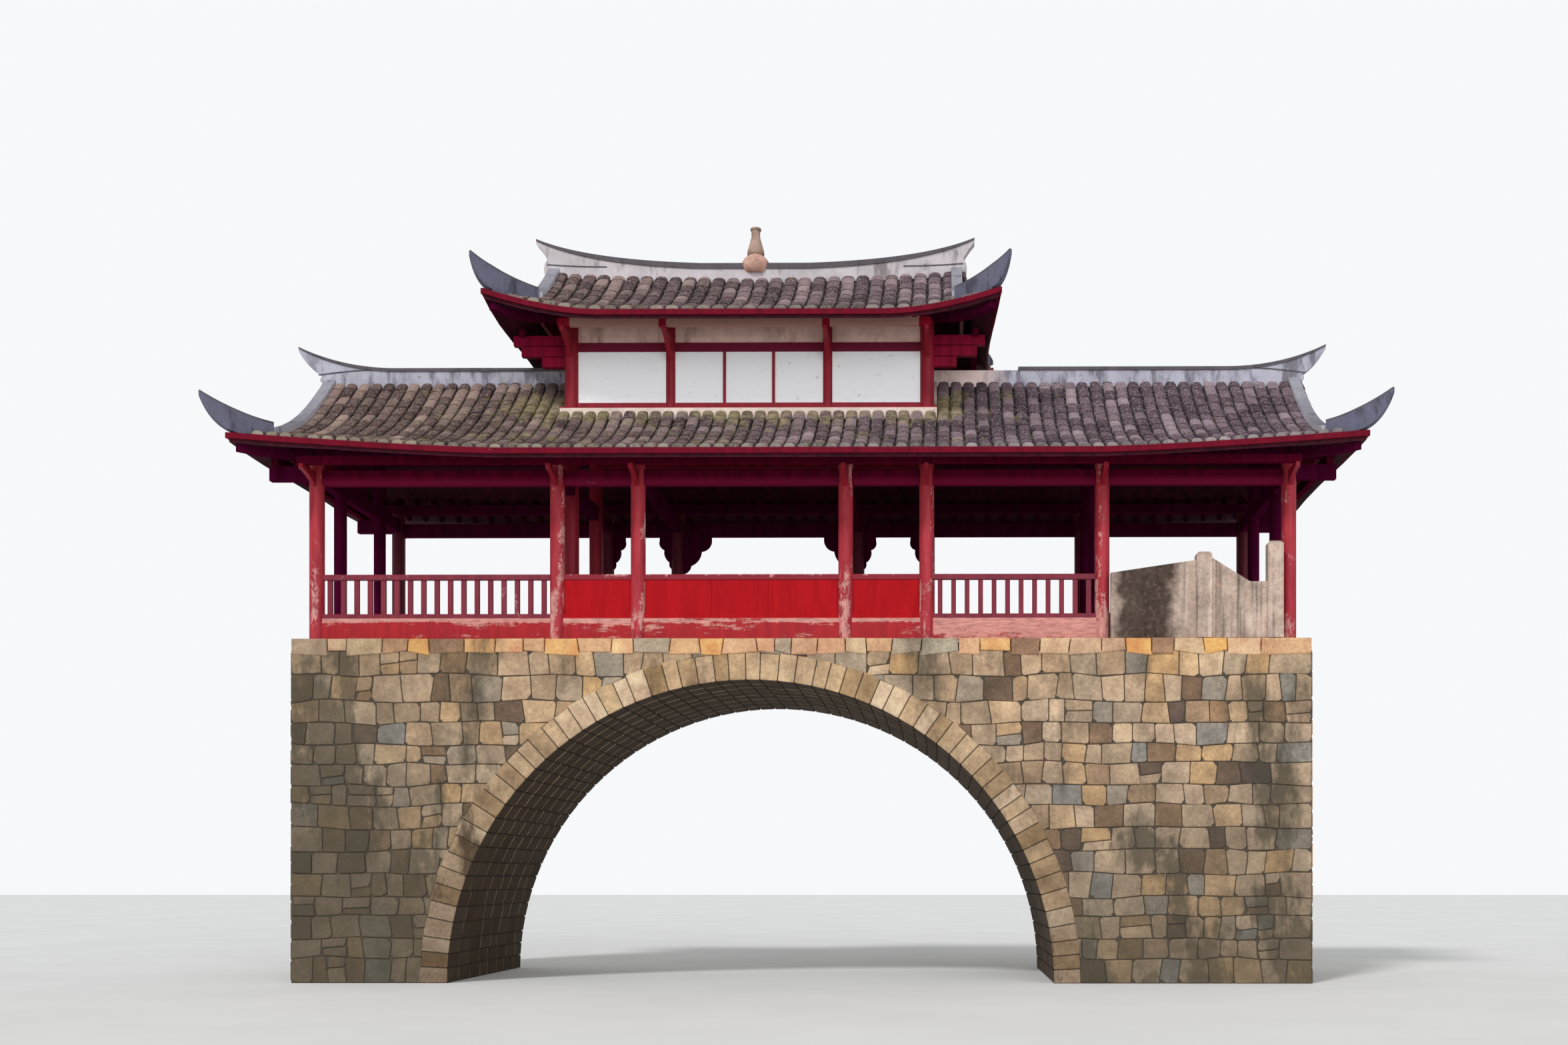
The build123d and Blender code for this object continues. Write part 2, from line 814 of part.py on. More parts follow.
@dataclass
class Ridge:
    """A white ridge band whose end flies up to a thin tip."""

    start_x: float
    roof: Roof
    band: float
    cap_height: float
    tip_reach: float
    tip_rise: float
    bend_run: float
    bend_rise: float
    notch_rise: float
    belly: float

    def top_z(self):
        """Top of the plain stretch of the band."""
        return self.roof.ridge_z() + self.band

    def tip(self):
        """The top of the flying end, as (x, z)."""
        return self.roof.gable_x + self.tip_reach, self.roof.ridge_z() + self.tip_rise

    def top_edges(self, lift, tip_lift):
        """The top line from the start to the tip, raised by a lift that changes to another."""
        top = self.top_z() + lift
        bend_x = self.roof.gable_x - self.bend_run
        tip_x, tip_z = self.tip()
        control = (bend_x + self.bend_run * ridge_bend_share, 0, top + self.bend_rise)
        return [
            Line((self.start_x, 0, top), (bend_x, 0, top)),
            Bezier((bend_x, 0, top), control, (tip_x, 0, tip_z + tip_lift)),
        ]

    def white_band(self):
        """The plastered band and its flying end."""
        end_x = self.roof.gable_x
        foot = self.roof.ridge_z()
        low = foot - ridge_bedding
        notch = foot + self.notch_rise
        tip_x, tip_z = self.tip()
        tip_foot = tip_z - ridge_tip_depth
        bulge = (end_x + tip_x) / 2 + self.belly, 0, (notch + tip_foot) / 2 - self.belly
        edges = self.top_edges(0, 0) + [
            Line((tip_x, 0, tip_z), (tip_x, 0, tip_foot)),
            ThreePointArc((end_x, 0, notch), bulge, (tip_x, 0, tip_foot)),
            ThreePointArc((end_x, 0, notch), (end_x + ridge_scroll, 0, (notch + foot) / 2), (end_x, 0, foot)),
            Line((end_x, 0, foot), (end_x, 0, low)),
            Line((end_x, 0, low), (self.start_x, 0, low)),
            Line((self.start_x, 0, low), (self.start_x, 0, self.top_z())),
        ]
        return extrude(make_face(edges), ridge_width / 2, dir=(0, 1, 0), both=True)

    def cap(self, start_x):
        """The dark coping on the band, from a place to the tip."""
        edges = self.top_edges(joint, joint) + self.top_edges(joint + self.cap_height, coping_tip_height)
        z0 = self.top_z() + joint
        edges.append(Line((self.start_x, 0, z0), (self.start_x, 0, z0 + self.cap_height)))
        tip_x, tip_z = self.tip()
        edges.append(Line((tip_x, 0, tip_z + joint), (tip_x, 0, tip_z + coping_tip_height)))
        width = ridge_width / 2 + coping_cap_overhang
        strip = extrude(make_face(edges), width, dir=(0, 1, 0), both=True)
        if start_x > self.start_x:
            high = z0 + 2 * self.cap_height
            strip = strip - block(0, start_x, -2 * width, 2 * width, self.roof.ridge_z(), high)
        return strip


def lower_ridge(side):
    """The lower ridge from the tower to the gable, drawn for one side."""
    return Ridge(
        start_x=side * tower_shift + tower_frame + panel_thickness / 2,
        roof=lower,
        band=lower_band,
        cap_height=lower_cap,
        tip_reach=lower_tip_reach,
        tip_rise=lower_tip_rise,
        bend_run=lower_bend_run,
        bend_rise=lower_bend_rise,
        notch_rise=lower_notch_rise,
        belly=lower_belly,
    )


lower_right_ridge = lower_ridge(1)
lower_left_ridge = lower_ridge(-1)
upper_ridge = Ridge(
    start_x=0,
    roof=upper,
    band=upper_band,
    cap_height=upper_cap,
    tip_reach=upper_tip_reach,
    tip_rise=upper_tip_rise,
    bend_run=upper_bend_run,
    bend_rise=upper_bend_rise,
    notch_rise=upper_notch_rise,
    belly=upper_belly,
)


def slope_ridge(roof):
    """The white ridge down the gable edge of the front slope."""
    x1 = roof.centre_x + roof.gable_x - slope_ridge_setback
    x0 = x1 - slope_ridge_width
    steps = 8
    ys = [-ridge_width / 2 - (roof.hip_y - ridge_width / 2) * i / steps for i in range(steps + 1)]
    top = [(y, roof.front_z(x1, y) + slope_ridge_height) for y in ys]
    under = [(y, roof.front_z(x0, y) - roof_thickness / 2) for y in reversed(ys)]
    strip = across_profile(top + under, x0, x1)
    return strip - Pos(0, 0, joint) * slope(roof)


def hip_ridge(roof, tip_run, tip_z, head):
    """The white plate on the hip, flying out past the corner of the eave."""
    start_x = roof.centre_x + roof.gable_x - slope_ridge_setback - slope_ridge_width / 2
    start = (start_x, -roof.hip_y)
    corner = (roof.centre_x + roof.eave_x, -roof.eave_y)
    length = math.hypot(corner[0] - start[0], corner[1] - start[1])
    direction = Vector((corner[0] - start[0]) / length, (corner[1] - start[1]) / length, 0)
    across = direction.cross(Vector(0, 0, 1))
    plane = Plane((start[0], start[1], 0), x_dir=direction, z_dir=across)
    foot_z = roof.front_z(start[0], start[1]) + head
    corner_z = roof.eave_z + roof.lift
    tip = (length + tip_run, roof.eave_z + tip_z)
    low_z = corner_z - roof_thickness
    tip_foot = (tip[0], tip[1] - hip_tip_depth)
    perch = (length - hip_corner_inset, corner_z + hip_corner_rise)
    belly_bend = (length + tip_run * hip_belly_share, corner_z + hip_belly_rise)
    edges = [
        Bezier((0, foot_z), (length * hip_bend_share, foot_z + hip_bend_rise), tip),
        Line(tip, tip_foot),
        Bezier(tip_foot, belly_bend, perch),
        Line(perch, (perch[0], low_z)),
        Line((perch[0], low_z), (0, low_z - roof.lift)),
        Line((0, low_z - roof.lift), (0, foot_z)),
    ]
    plate = extrude(plane * make_face(edges), hip_ridge_width / 2, both=True)
    half, thin = hip_ridge_width / 2, hip_tip_width / 2
    outline = [(0, -half), (perch[0], -half), (tip[0], -thin), (tip[0], thin), (perch[0], half), (0, half)]
    plan = Plane((start[0], start[1], 0), x_dir=direction, z_dir=(0, 0, 1))
    plate = plate & extrude(plan * make_face(Polyline(*outline, close=True)), 2 * tip[1])
    raised = Pos(0, 0, joint)
    plate = plate - raised * slope(roof) - raised * skirt(roof) - slope_ridge(roof)
    plate = plate - front_edge_board(roof) - end_edge_board(roof)
    return plate.solids().sort_by(Axis.Z)[-1]


def front_kerb():
    """The white kerb where the tower comes through the lower roof."""
    left = tower_shift - kerb_x
    right = tower_shift + kerb_x
    front = block(left, right, -kerb_y, kerb_thickness - kerb_y, inner_purlin_top, kerb_z)
    return notched(front, tower_cutters + stud_cutters)


def side_kerb():
    """The kerb along the tower's end wall, stepped with the lower ridge."""
    x1 = tower_shift + kerb_x
    x0 = x1 - kerb_thickness
    inside = kerb_y - kerb_thickness
    steps = 3
    ys = [inside * i / steps for i in range(steps, 0, -1)]
    half = [(y, max(kerb_z, lower.slope_z(y) + kerb_step)) for y in ys]
    top = [(-y, z) for y, z in half] + [(0, lower.slope_z(0) + kerb_step)] + list(reversed(half))
    points = [(-inside, inner_purlin_top)] + top + [(inside, inner_purlin_top)]
    shape = across_profile(points, x0, x1)
    return notched(shape, tower_cutters)


def tower_face(thickness, z0, z1):
    """A member along the tower's front between its posts."""
    half = thickness / 2
    shape = block(
        tower_posts_x[0], tower_posts_x[1], -inner_row - half, half - inner_row, z0, z1
    )
    return notched(shape, tower_cutters + stud_cutters)


def tower_end(thickness, z0, z1):
    """A member along the tower's right end wall."""
    x = tower_posts_x[1]
    shape = block(x - thickness / 2, x + thickness / 2, -inner_row, inner_row, z0, z1)
    return notched(shape, tower_cutters)


def around_tower(face, end):
    """A front member and an end member, with their mirrors."""
    return both_sides(face) + [end, other_end(end, upper)]


def tower_members(thickness, z0, z1):
    """Like members on all four sides of the tower."""
    return around_tower(tower_face(thickness, z0, z1), tower_end(thickness, z0, z1))


def mullion_places():
    """The mullions that part the tower's middle panel in three."""
    span = stud_spacing - stud_diameter
    return [tower_shift - span / 6, tower_shift + span / 6]


def mullions():
    """The thin uprights in the middle of the tower's front."""
    half = mullion_width / 2
    depth = tower_rail_thickness / 2
    return [
        block(x - half, x + half, -inner_row - depth, depth - inner_row, panel_z, middle_rail_z)
        for x in mullion_places()
    ]


def panels():
    """The plain white panels of the tower."""
    front = tower_face(panel_thickness, panel_z, middle_rail_z)
    for x in mullion_places():
        half = mullion_width / 2
        near = -inner_row - panel_thickness
        far = panel_thickness - inner_row
        front = front - block(x - half, x + half, near, far, panel_z, middle_rail_z)
    return around_tower(front, tower_end(panel_thickness, panel_z, middle_rail_z))


def tower_plates():
    """The top plates that carry the tower roof."""
    half = tower_rail_thickness / 2
    reach = upper.gable_x - gable_thickness
    left = tower_shift - reach
    right = tower_shift + reach
    return block(left, right, -inner_row - half, half - inner_row, plate_z, plate_top)


def end_purlin(roof, reach_y):
    """The purlin along the end eave."""
    half = eave_purlin_width / 2
    x = roof.centre_x + roof.eave_x - end_flare - end_purlin_setback + half
    top = roof.under_z(x + half, 0) - corner_beam_gap
    return block(x - half, x + half, -reach_y, reach_y, top - eave_purlin_height, top)


def tower_arms():
    """Stepped arms beyond the tower's right end, which carry the end purlin."""
    seat = end_purlin(upper, inner_row)
    top = seat.bounding_box().min.Z + arm_seat
    arms = []
    for i, reach in enumerate(arm_reaches):
        z1 = top - i * (arm_height + arm_gap)
        x0 = tower_posts_x[1]
        half = arm_width / 2
        arm = block(x0, x0 + reach, -inner_row - half, half - inner_row, z1 - arm_height, z1)
        arms.append(notched(arm, tower_cutters + [end_purlin(upper, inner_row + arm_width)]))
    return arms


def gallery_arm():
    """The arm beyond the gallery's right front post, which carries the end purlin."""
    seat = end_purlin(lower, outer_row).bounding_box()
    half = beam_thickness / 2
    top = seat.min.Z
    end = seat.max.X + end_arm_overrun
    arm = block(corner_x, end, -outer_row - half, half - outer_row, top - beam_height, top)
    return notched(arm, outer_cutters)


def tower_posts():
    """The long posts from the deck to the tower's plate."""
    return [post(x, y, tower_post_diameter, deck, plate_z) for x, y in tower_places]


def studs():
    """The short posts of the tower's front and rear."""
    return [post(x, y, stud_diameter, inner_purlin_top, plate_z) for x, y in stud_places]


def ledger():
    """The beam between the tower posts under the kerb."""
    half = ledger_width / 2
    shape = block(
        tower_posts_x[0],
        tower_posts_x[1],
        -inner_row - half,
        half - inner_row,
        inner_purlin_top - ledger_height,
        inner_purlin_top,
    )
    return notched(shape, tower_cutters)


def tower_eave_purlin():
    """The front eave purlin of the tower."""
    half = eave_purlin_width / 2
    run = tower_frame + corbel_thickness
    z0 = tower_purlin_top - eave_purlin_height
    near = -tower_purlin_y - half
    far = half - tower_purlin_y
    return block(tower_shift - run, tower_shift + run, near, far, z0, tower_purlin_top)


def tower_corbels():
    """The curved boards that carry the tower's eave."""
    top = tower_purlin_top - eave_purlin_height
    places = tower_posts_x + studs_x
    boards = [corbel(x, inner_row, tower_purlin_y, top, tower_corbel_drop) for x in places]
    return [notched(board, tower_cutters + stud_cutters) for board in boards]


def finial(ridge_solids):
    """The vase-shaped finial on a bowl, astride the middle of the tower ridge."""
    foot = upper_ridge.top_z() - finial_sink
    collar = foot + bowl_height
    vase = collar + collar_height
    shoulder = vase + vase_height
    neck = shoulder + neck_rise - vase_height
    top = foot + finial_height
    lip = top - lip_height
    bowl = ThreePointArc(
        (bowl_foot_radius, 0, foot), (bowl_radius, 0, foot + 0.4 * bowl_height), (vase_radius, 0, collar)
    )
    profile = [
        Line((0, 0, foot), (bowl_foot_radius, 0, foot)),
        bowl,
        Line((vase_radius, 0, collar), (collar_radius, 0, collar)),
        Line((collar_radius, 0, collar), (collar_radius, 0, vase)),
        Line((collar_radius, 0, vase), (vase_radius, 0, vase)),
        Line((vase_radius, 0, vase), (vase_radius, 0, shoulder)),
        Line((vase_radius, 0, shoulder), (neck_radius, 0, neck)),
        Line((neck_radius, 0, neck), (neck_radius, 0, lip)),
        Line((neck_radius, 0, lip), (lip_radius, 0, lip)),
        Line((lip_radius, 0, lip), (lip_radius, 0, top)),
        Line((lip_radius, 0, top), (0, 0, top)),
        Line((0, 0, top), (0, 0, foot)),
    ]
    shape = Pos(tower_shift, 0, 0) * revolve(make_face(profile), Axis.Z)
    for solid in ridge_solids:
        shape = shape - solid
    return shape


def with_notch(shape):
    """A lower slope with the tower's place cut out."""
    left = tower_shift - kerb_x
    right = tower_shift + kerb_x
    return shape - block(left, right, -kerb_y, kerb_y, deck, upper.ridge_z())


os.makedirs("parts", exist_ok=True)

save("arch_barrel", [arch_ring(arch_radius, ring_depth)])
save("left_abutment", [masonry(-wall_end, arch_x)])
save("right_abutment", [masonry(arch_x, wall_end)])
save("front_coping", [coping()])
save("rear_coping", [mirror(coping(), Plane.XZ)])
save("deck_paving", [deck_paving()])
save("slab_posts", [piece for part in slab_posts() for piece in both_sides(part)])
save("slab_parapets", [piece for part in slab_runs() for piece in both_sides(part)])

front_posts = outer_posts()
save("front_posts", front_posts)
save("rear_posts", [mirror(piece, Plane.XZ) for piece in front_posts])
save("inner_posts", inner_posts() + king_posts())
save("sills", [piece for part in sills() for piece in both_sides(part)])
boarding = [boarded_parapet(bay) for bay in timber_bays()[1:4]]
save("front_boarding", boarding)
save("rear_boarding", [mirror(piece, Plane.XZ) for piece in boarding])
balustrades = [balustrade(timber_bays()[0]), balustrade(timber_bays()[4])]
save("front_balustrades", balustrades)
save("rear_balustrades", [mirror(piece, Plane.XZ) for piece in balustrades])
beams = tie_beams()
save("front_tie_beam", beams)
save("rear_tie_beam", [mirror(piece, Plane.XZ) for piece in beams])
save("cross_beams", cross_beams() + all_corners(gallery_arm(), 0))
save("purlins", [piece for part in purlins() for piece in both_sides(part)] + ridge_purlins())
save("rear_brackets", rear_brackets())
end_purlins = both_ends(end_purlin(lower, outer_row + beam_thickness), lower)
end_purlins = end_purlins + both_ends(end_purlin(upper, inner_row + arm_width), upper)
save("eave_purlins", both_sides(eave_purlin()) + both_sides(tower_eave_purlin()) + end_purlins)
save("corbels", [piece for part in corbels() + tower_corbels() for piece in both_sides(part)])
lower_carriers = purlins() + [end_purlins[0]]
upper_carriers = [tower_plates(), end_purlins[2]]
lower_corner_beam = corner_beam(lower, corner_x, outer_row, post_diameter / 2, lower_carriers)
upper_corner_beam = corner_beam(upper, tower_frame, inner_row, tower_post_diameter / 2, upper_carriers)
save("corner_beams", all_corners(lower_corner_beam, 0) + all_corners(upper_corner_beam, tower_shift))

lower_slope = with_notch(slope(lower))
upper_slope = slope(upper)
save("lower_roof_front", [lower_slope])
save("lower_roof_rear", [mirror(lower_slope, Plane.XZ)])
save("upper_roof_front", [upper_slope])
save("upper_roof_rear", [mirror(upper_slope, Plane.XZ)])
save("lower_roof_ends", both_ends(skirt(lower), lower))
save("upper_roof_ends", both_ends(skirt(upper), upper))
save("long_fascia", both_sides(front_edge_board(lower)) + both_sides(front_edge_board(upper)))
save("end_fascia", both_ends(end_edge_board(lower), lower) + both_ends(end_edge_board(upper), upper))
save("gables", both_ends(gable(lower), lower) + both_ends(gable(upper), upper))

right_band = notched(lower_right_ridge.white_band(), raised_slopes(lower))
left_band = mirror(notched(lower_left_ridge.white_band(), raised_slopes(lower)), Plane.YZ)
save("lower_ridge", [right_band, left_band])
half_band = Pos(tower_shift, 0, 0) * upper_ridge.white_band()
upper_white = notched(half_band + other_end(half_band, upper), raised_slopes(upper))
upper_white = upper_white.solids().sort_by(Axis.Z)[-1]
save("upper_ridge", [upper_white])
half_cap = Pos(tower_shift, 0, 0) * upper_ridge.cap(0)
upper_coping = half_cap + other_end(half_cap, upper)
right_cap = lower_right_ridge.cap(lower_right_ridge.start_x + bare_ridge)
left_cap = lower_left_ridge.cap(lower_left_ridge.start_x + bare_ridge)
save("ridge_copings", [right_cap, mirror(left_cap, Plane.YZ), upper_coping])
save("slope_ridges", all_corners(slope_ridge(lower), 0) + all_corners(slope_ridge(upper), tower_shift))
lower_hip = hip_ridge(lower, lower_hip_flight, lower_hip_tip, lower_hip_head)
upper_hip = hip_ridge(upper, upper_hip_flight, upper_hip_tip, upper_hip_head)
rear_hip = mirror(hip_ridge(upper, rear_hip_flight, rear_hip_tip, upper_hip_head), Plane.XZ)
tower_hips = both_ends(upper_hip, upper) + both_ends(rear_hip, upper)
save("hip_ridges", all_corners(lower_hip, 0) + tower_hips)
save("finial", [finial([upper_white, upper_coping] + raised_slopes(upper))])

save("tower_posts", tower_posts())
save("tower_studs", studs() + [piece for part in mullions() for piece in both_sides(part)])
arms = [piece for arm in tower_arms() for piece in all_corners(arm, tower_shift)]
save("tower_beams", both_sides(ledger()) + both_sides(tower_plates()) + arms)
end_kerbs = [side_kerb() - right_band, other_end(side_kerb(), upper) - left_band]
save("tower_kerb", both_sides(front_kerb()) + end_kerbs)
low_rails = tower_members(tower_rail_thickness, kerb_z, panel_z)
high_rails = tower_members(tower_rail_thickness, middle_rail_z, frieze_z)
save("tower_rails", low_rails + high_rails)
save("tower_panels", panels())
save("tower_frieze", tower_members(panel_thickness, frieze_z, plate_z))
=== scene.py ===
"""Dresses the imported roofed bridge: cut stone, rubble, painted timber, clay tiles and plastered ridges."""

import logging
import math
import random
from dataclasses import dataclass, field, replace
from enum import Enum
from typing import ClassVar, Iterator

import bmesh
import bpy
from mathutils import Matrix, Vector
from mathutils.bvhtree import BVHTree


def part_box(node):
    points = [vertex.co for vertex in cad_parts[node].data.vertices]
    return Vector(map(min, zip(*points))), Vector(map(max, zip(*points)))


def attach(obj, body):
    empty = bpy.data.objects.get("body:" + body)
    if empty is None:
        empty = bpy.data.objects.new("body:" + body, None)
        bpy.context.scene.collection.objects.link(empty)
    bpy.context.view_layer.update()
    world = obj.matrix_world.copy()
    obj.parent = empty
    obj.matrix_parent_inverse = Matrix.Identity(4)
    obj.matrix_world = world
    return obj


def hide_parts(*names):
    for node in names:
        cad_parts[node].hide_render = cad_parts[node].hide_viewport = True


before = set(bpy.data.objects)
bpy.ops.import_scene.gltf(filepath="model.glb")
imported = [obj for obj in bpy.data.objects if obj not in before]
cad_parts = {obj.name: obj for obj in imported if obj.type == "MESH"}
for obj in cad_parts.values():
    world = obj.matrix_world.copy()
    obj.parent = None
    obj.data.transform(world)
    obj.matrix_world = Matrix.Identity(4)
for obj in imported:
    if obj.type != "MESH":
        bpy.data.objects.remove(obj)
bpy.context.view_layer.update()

logging.basicConfig(level=logging.INFO, format="%(message)s")
log = logging.getLogger("bridge")

BODY = "root"
TONE = "tone"
MID_TONE = 0.5
TOWER_X = -0.94
KERB_INSET = 0.05
UP = Vector((0, 0, 1))
FACES_UP = 0.3
ORDER = Vector((1.0, 31.7, 997.3))
UPRIGHT = Matrix.Rotation(math.radians(90), 4, "X")
Triple = tuple[float, float, float]
Pair = tuple[float, float]
Material = bpy.types.Material
Mesh = bpy.types.Mesh
BMesh = bmesh.types.BMesh


class Side(Enum):
    """The two long sides of the bridge, by the sign of Y."""

    FRONT = -1
    REAR = 1

    @property
    def label(self) -> str:
        """The side's name as the CAD nodes have it."""
        return self.name.lower()

    @property
    def turn(self) -> Matrix:
        """The turn about Z that takes the front to this side."""
        return Matrix.Identity(4) if self is Side.FRONT else Matrix.Rotation(math.pi, 4, "Z")

    @property
    def outward(self) -> Vector:
        """The direction away from the bridge."""
        return Vector((0, self.value, 0))


class End(Enum):
    """The two ends of the bridge, by the sign of X."""

    LEFT = -1
    RIGHT = 1

    @property
    def outward(self) -> Vector:
        """The direction away from the bridge."""
        return Vector((self.value, 0, 0))


class Value:
    """One output of a material's nodes, which adds, subtracts and multiplies like a number."""

    def __init__(self, graph: "Graph", socket: bpy.types.NodeSocket) -> None:
        """Keep the socket with its graph."""
        self.graph = graph
        self.socket = socket

    def __add__(self, other: "Value | float") -> "Value":
        """This value and another, added."""
        return self.graph.compute("ADD", self, other)

    def __sub__(self, other: "Value | float") -> "Value":
        """This value less another."""
        return self.graph.compute("SUBTRACT", self, other)

    def __rsub__(self, other: float) -> "Value":
        """A number less this value."""
        return self.graph.compute("SUBTRACT", other, self)

    def __mul__(self, other: "Value | float") -> "Value":
        """This value and another, multiplied."""
        return self.graph.compute("MULTIPLY", self, other)

    def __abs__(self) -> "Value":
        """This value without its sign."""
        return self.graph.compute("ABSOLUTE", self)

    def span(self, low: float, high: float) -> "Value":
        """This value stretched so that low becomes 0 and high becomes 1, clamped."""
        return self.graph.node("MapRange", {"Value": self, "From Min": low, "From Max": high}, "Result")

    def over(self, limit: float, blur: float = 0.002) -> "Value":
        """A share that is 1 where this value is over a limit, with a narrow blend."""
        return self.span(limit - blur, limit + blur)

    def under(self, limit: float, blur: float = 0.002) -> "Value":
        """A share that is 1 where this value is under a limit, with a narrow blend."""
        return self.span(limit + blur, limit - blur)


class Graph:
    """A material and the helpers that wire its nodes."""

    def __init__(self, name: str) -> None:
        """Start a material with its shader and its place socket.

        Args:
            name: the material's name.
        """
        self.material = bpy.data.materials.new(name)
        self.material.use_nodes = True
        self.tree = self.material.node_tree
        self.shader = next(n for n in self.tree.nodes if n.type == "BSDF_PRINCIPLED")
        self.place = self.node("TexCoord", {}, "Object")

    def feed(self, value: object, target: bpy.types.NodeSocket) -> None:
        """Give a socket a value or a link.

        Args:
            value: a number, a colour or another node's output.
            target: the socket that takes it.
        """
        if isinstance(value, Value):
            self.tree.links.new(value.socket, target)
        elif target.type == "RGBA":
            target.default_value = (*value, 1.0)
        else:
            target.default_value = value

    def node(self, kind: str, inputs: dict, output: str | int, **settings: str) -> Value:
        """Add a node.

        Args:
            kind: its type, without the word that all shader nodes start with.
            inputs: what its inputs take, by name or number.
            output: the output that is wanted.
            settings: the node's own settings.

        Returns:
            That output.
        """
        node = self.tree.nodes.new(f"ShaderNode{kind}")
        for name, setting in settings.items():
            setattr(node, name, setting)
        for key, value in inputs.items():
            self.feed(value, node.inputs[key])
        return Value(self, node.outputs[output])

    def noise(self, scale: float, detail: float = 4, rough: float = 0.55,
              stretch: Triple = (1, 1, 1)) -> Value:
        """A cloudy pattern on the object place.

        Args:
            scale: features per metre.
            detail: octaves.
            rough: how strongly the small octaves count.
            stretch: the factor for X, Y and Z.

        Returns:
            The pattern's value, about 0.5 on average.
        """
        place = self.node("Mapping", {"Vector": self.place, "Scale": stretch}, "Vector")
        inputs = {"Vector": place, "Scale": scale, "Detail": detail, "Roughness": rough}
        return self.node("TexNoise", inputs, "Fac")

    def along(self, axis: str) -> Value:
        """One coordinate of the object place, X, Y or Z."""
        return self.node("SeparateXYZ", {"Vector": self.place}, axis)

    def facing(self, axis: str = "Z") -> Value:
        """The share of the surface's own normal along an axis, Z for how far it faces up."""
        return self.node("SeparateXYZ", {"Vector": self.node("NewGeometry", {}, "Normal")}, axis)

    def tone(self) -> Value:
        """The tone that each stone, tile or board carries."""
        return self.node("Attribute", {}, "Fac", attribute_name=TONE)

    def compute(self, operation: str, first: Value | float, second: Value | float = 0.0) -> Value:
        """One step of arithmetic, named as the Math node names it."""
        return self.node("Math", {0: first, 1: second}, 0, operation=operation)

    def ramp(self, value: Value, *stops: tuple[float, Triple]) -> Value:
        """A colour chosen by a value.

        Args:
            value: the value.
            stops: pairs of place and colour.

        Returns:
            The colour.
        """
        colour = self.node("ValToRGB", {"Fac": value}, "Color")
        elements = colour.socket.node.color_ramp.elements
        while len(elements) < len(stops):
            elements.new(0.5)
        for element, (place, tint) in zip(elements, stops):
            element.position = place
            element.color = (*tint, 1)
        return colour

    def mix(self, share: Value | float, first: Value | Triple, second: Value | Triple,
            blend: str = "MIX") -> Value:
        """Two colours blended by the share of the second, with the Mix node's blend type."""
        return self.node("Mix", {0: share, 6: first, 7: second}, 2, data_type="RGBA", blend_type=blend)

    def finish(self, colour: Value, rough: Value | float, height: Value | None = None, depth: float = 0.004,
               specular: float = 0.4) -> Material:
        """Wire the shader.

        Args:
            colour: the base colour.
            rough: the roughness.
            height: the relief, or None.
            depth: the relief's height in metres.
            specular: the shader's specular level.

        Returns:
            The finished material.
        """
        wiring = {"Base Color": colour, "Roughness": rough, "Specular IOR Level": specular}
        if height is not None:
            wiring["Normal"] = self.node("Bump", {"Distance": depth, "Height": height}, "Normal")
        for name, value in wiring.items():
            self.feed(value, self.shader.inputs[name])
        return self.material


def shaded(colour: Triple, factor: float) -> Triple:
    """A colour made darker or lighter, with no channel over 1."""
    return tuple(min(1, channel * factor) for channel in colour)


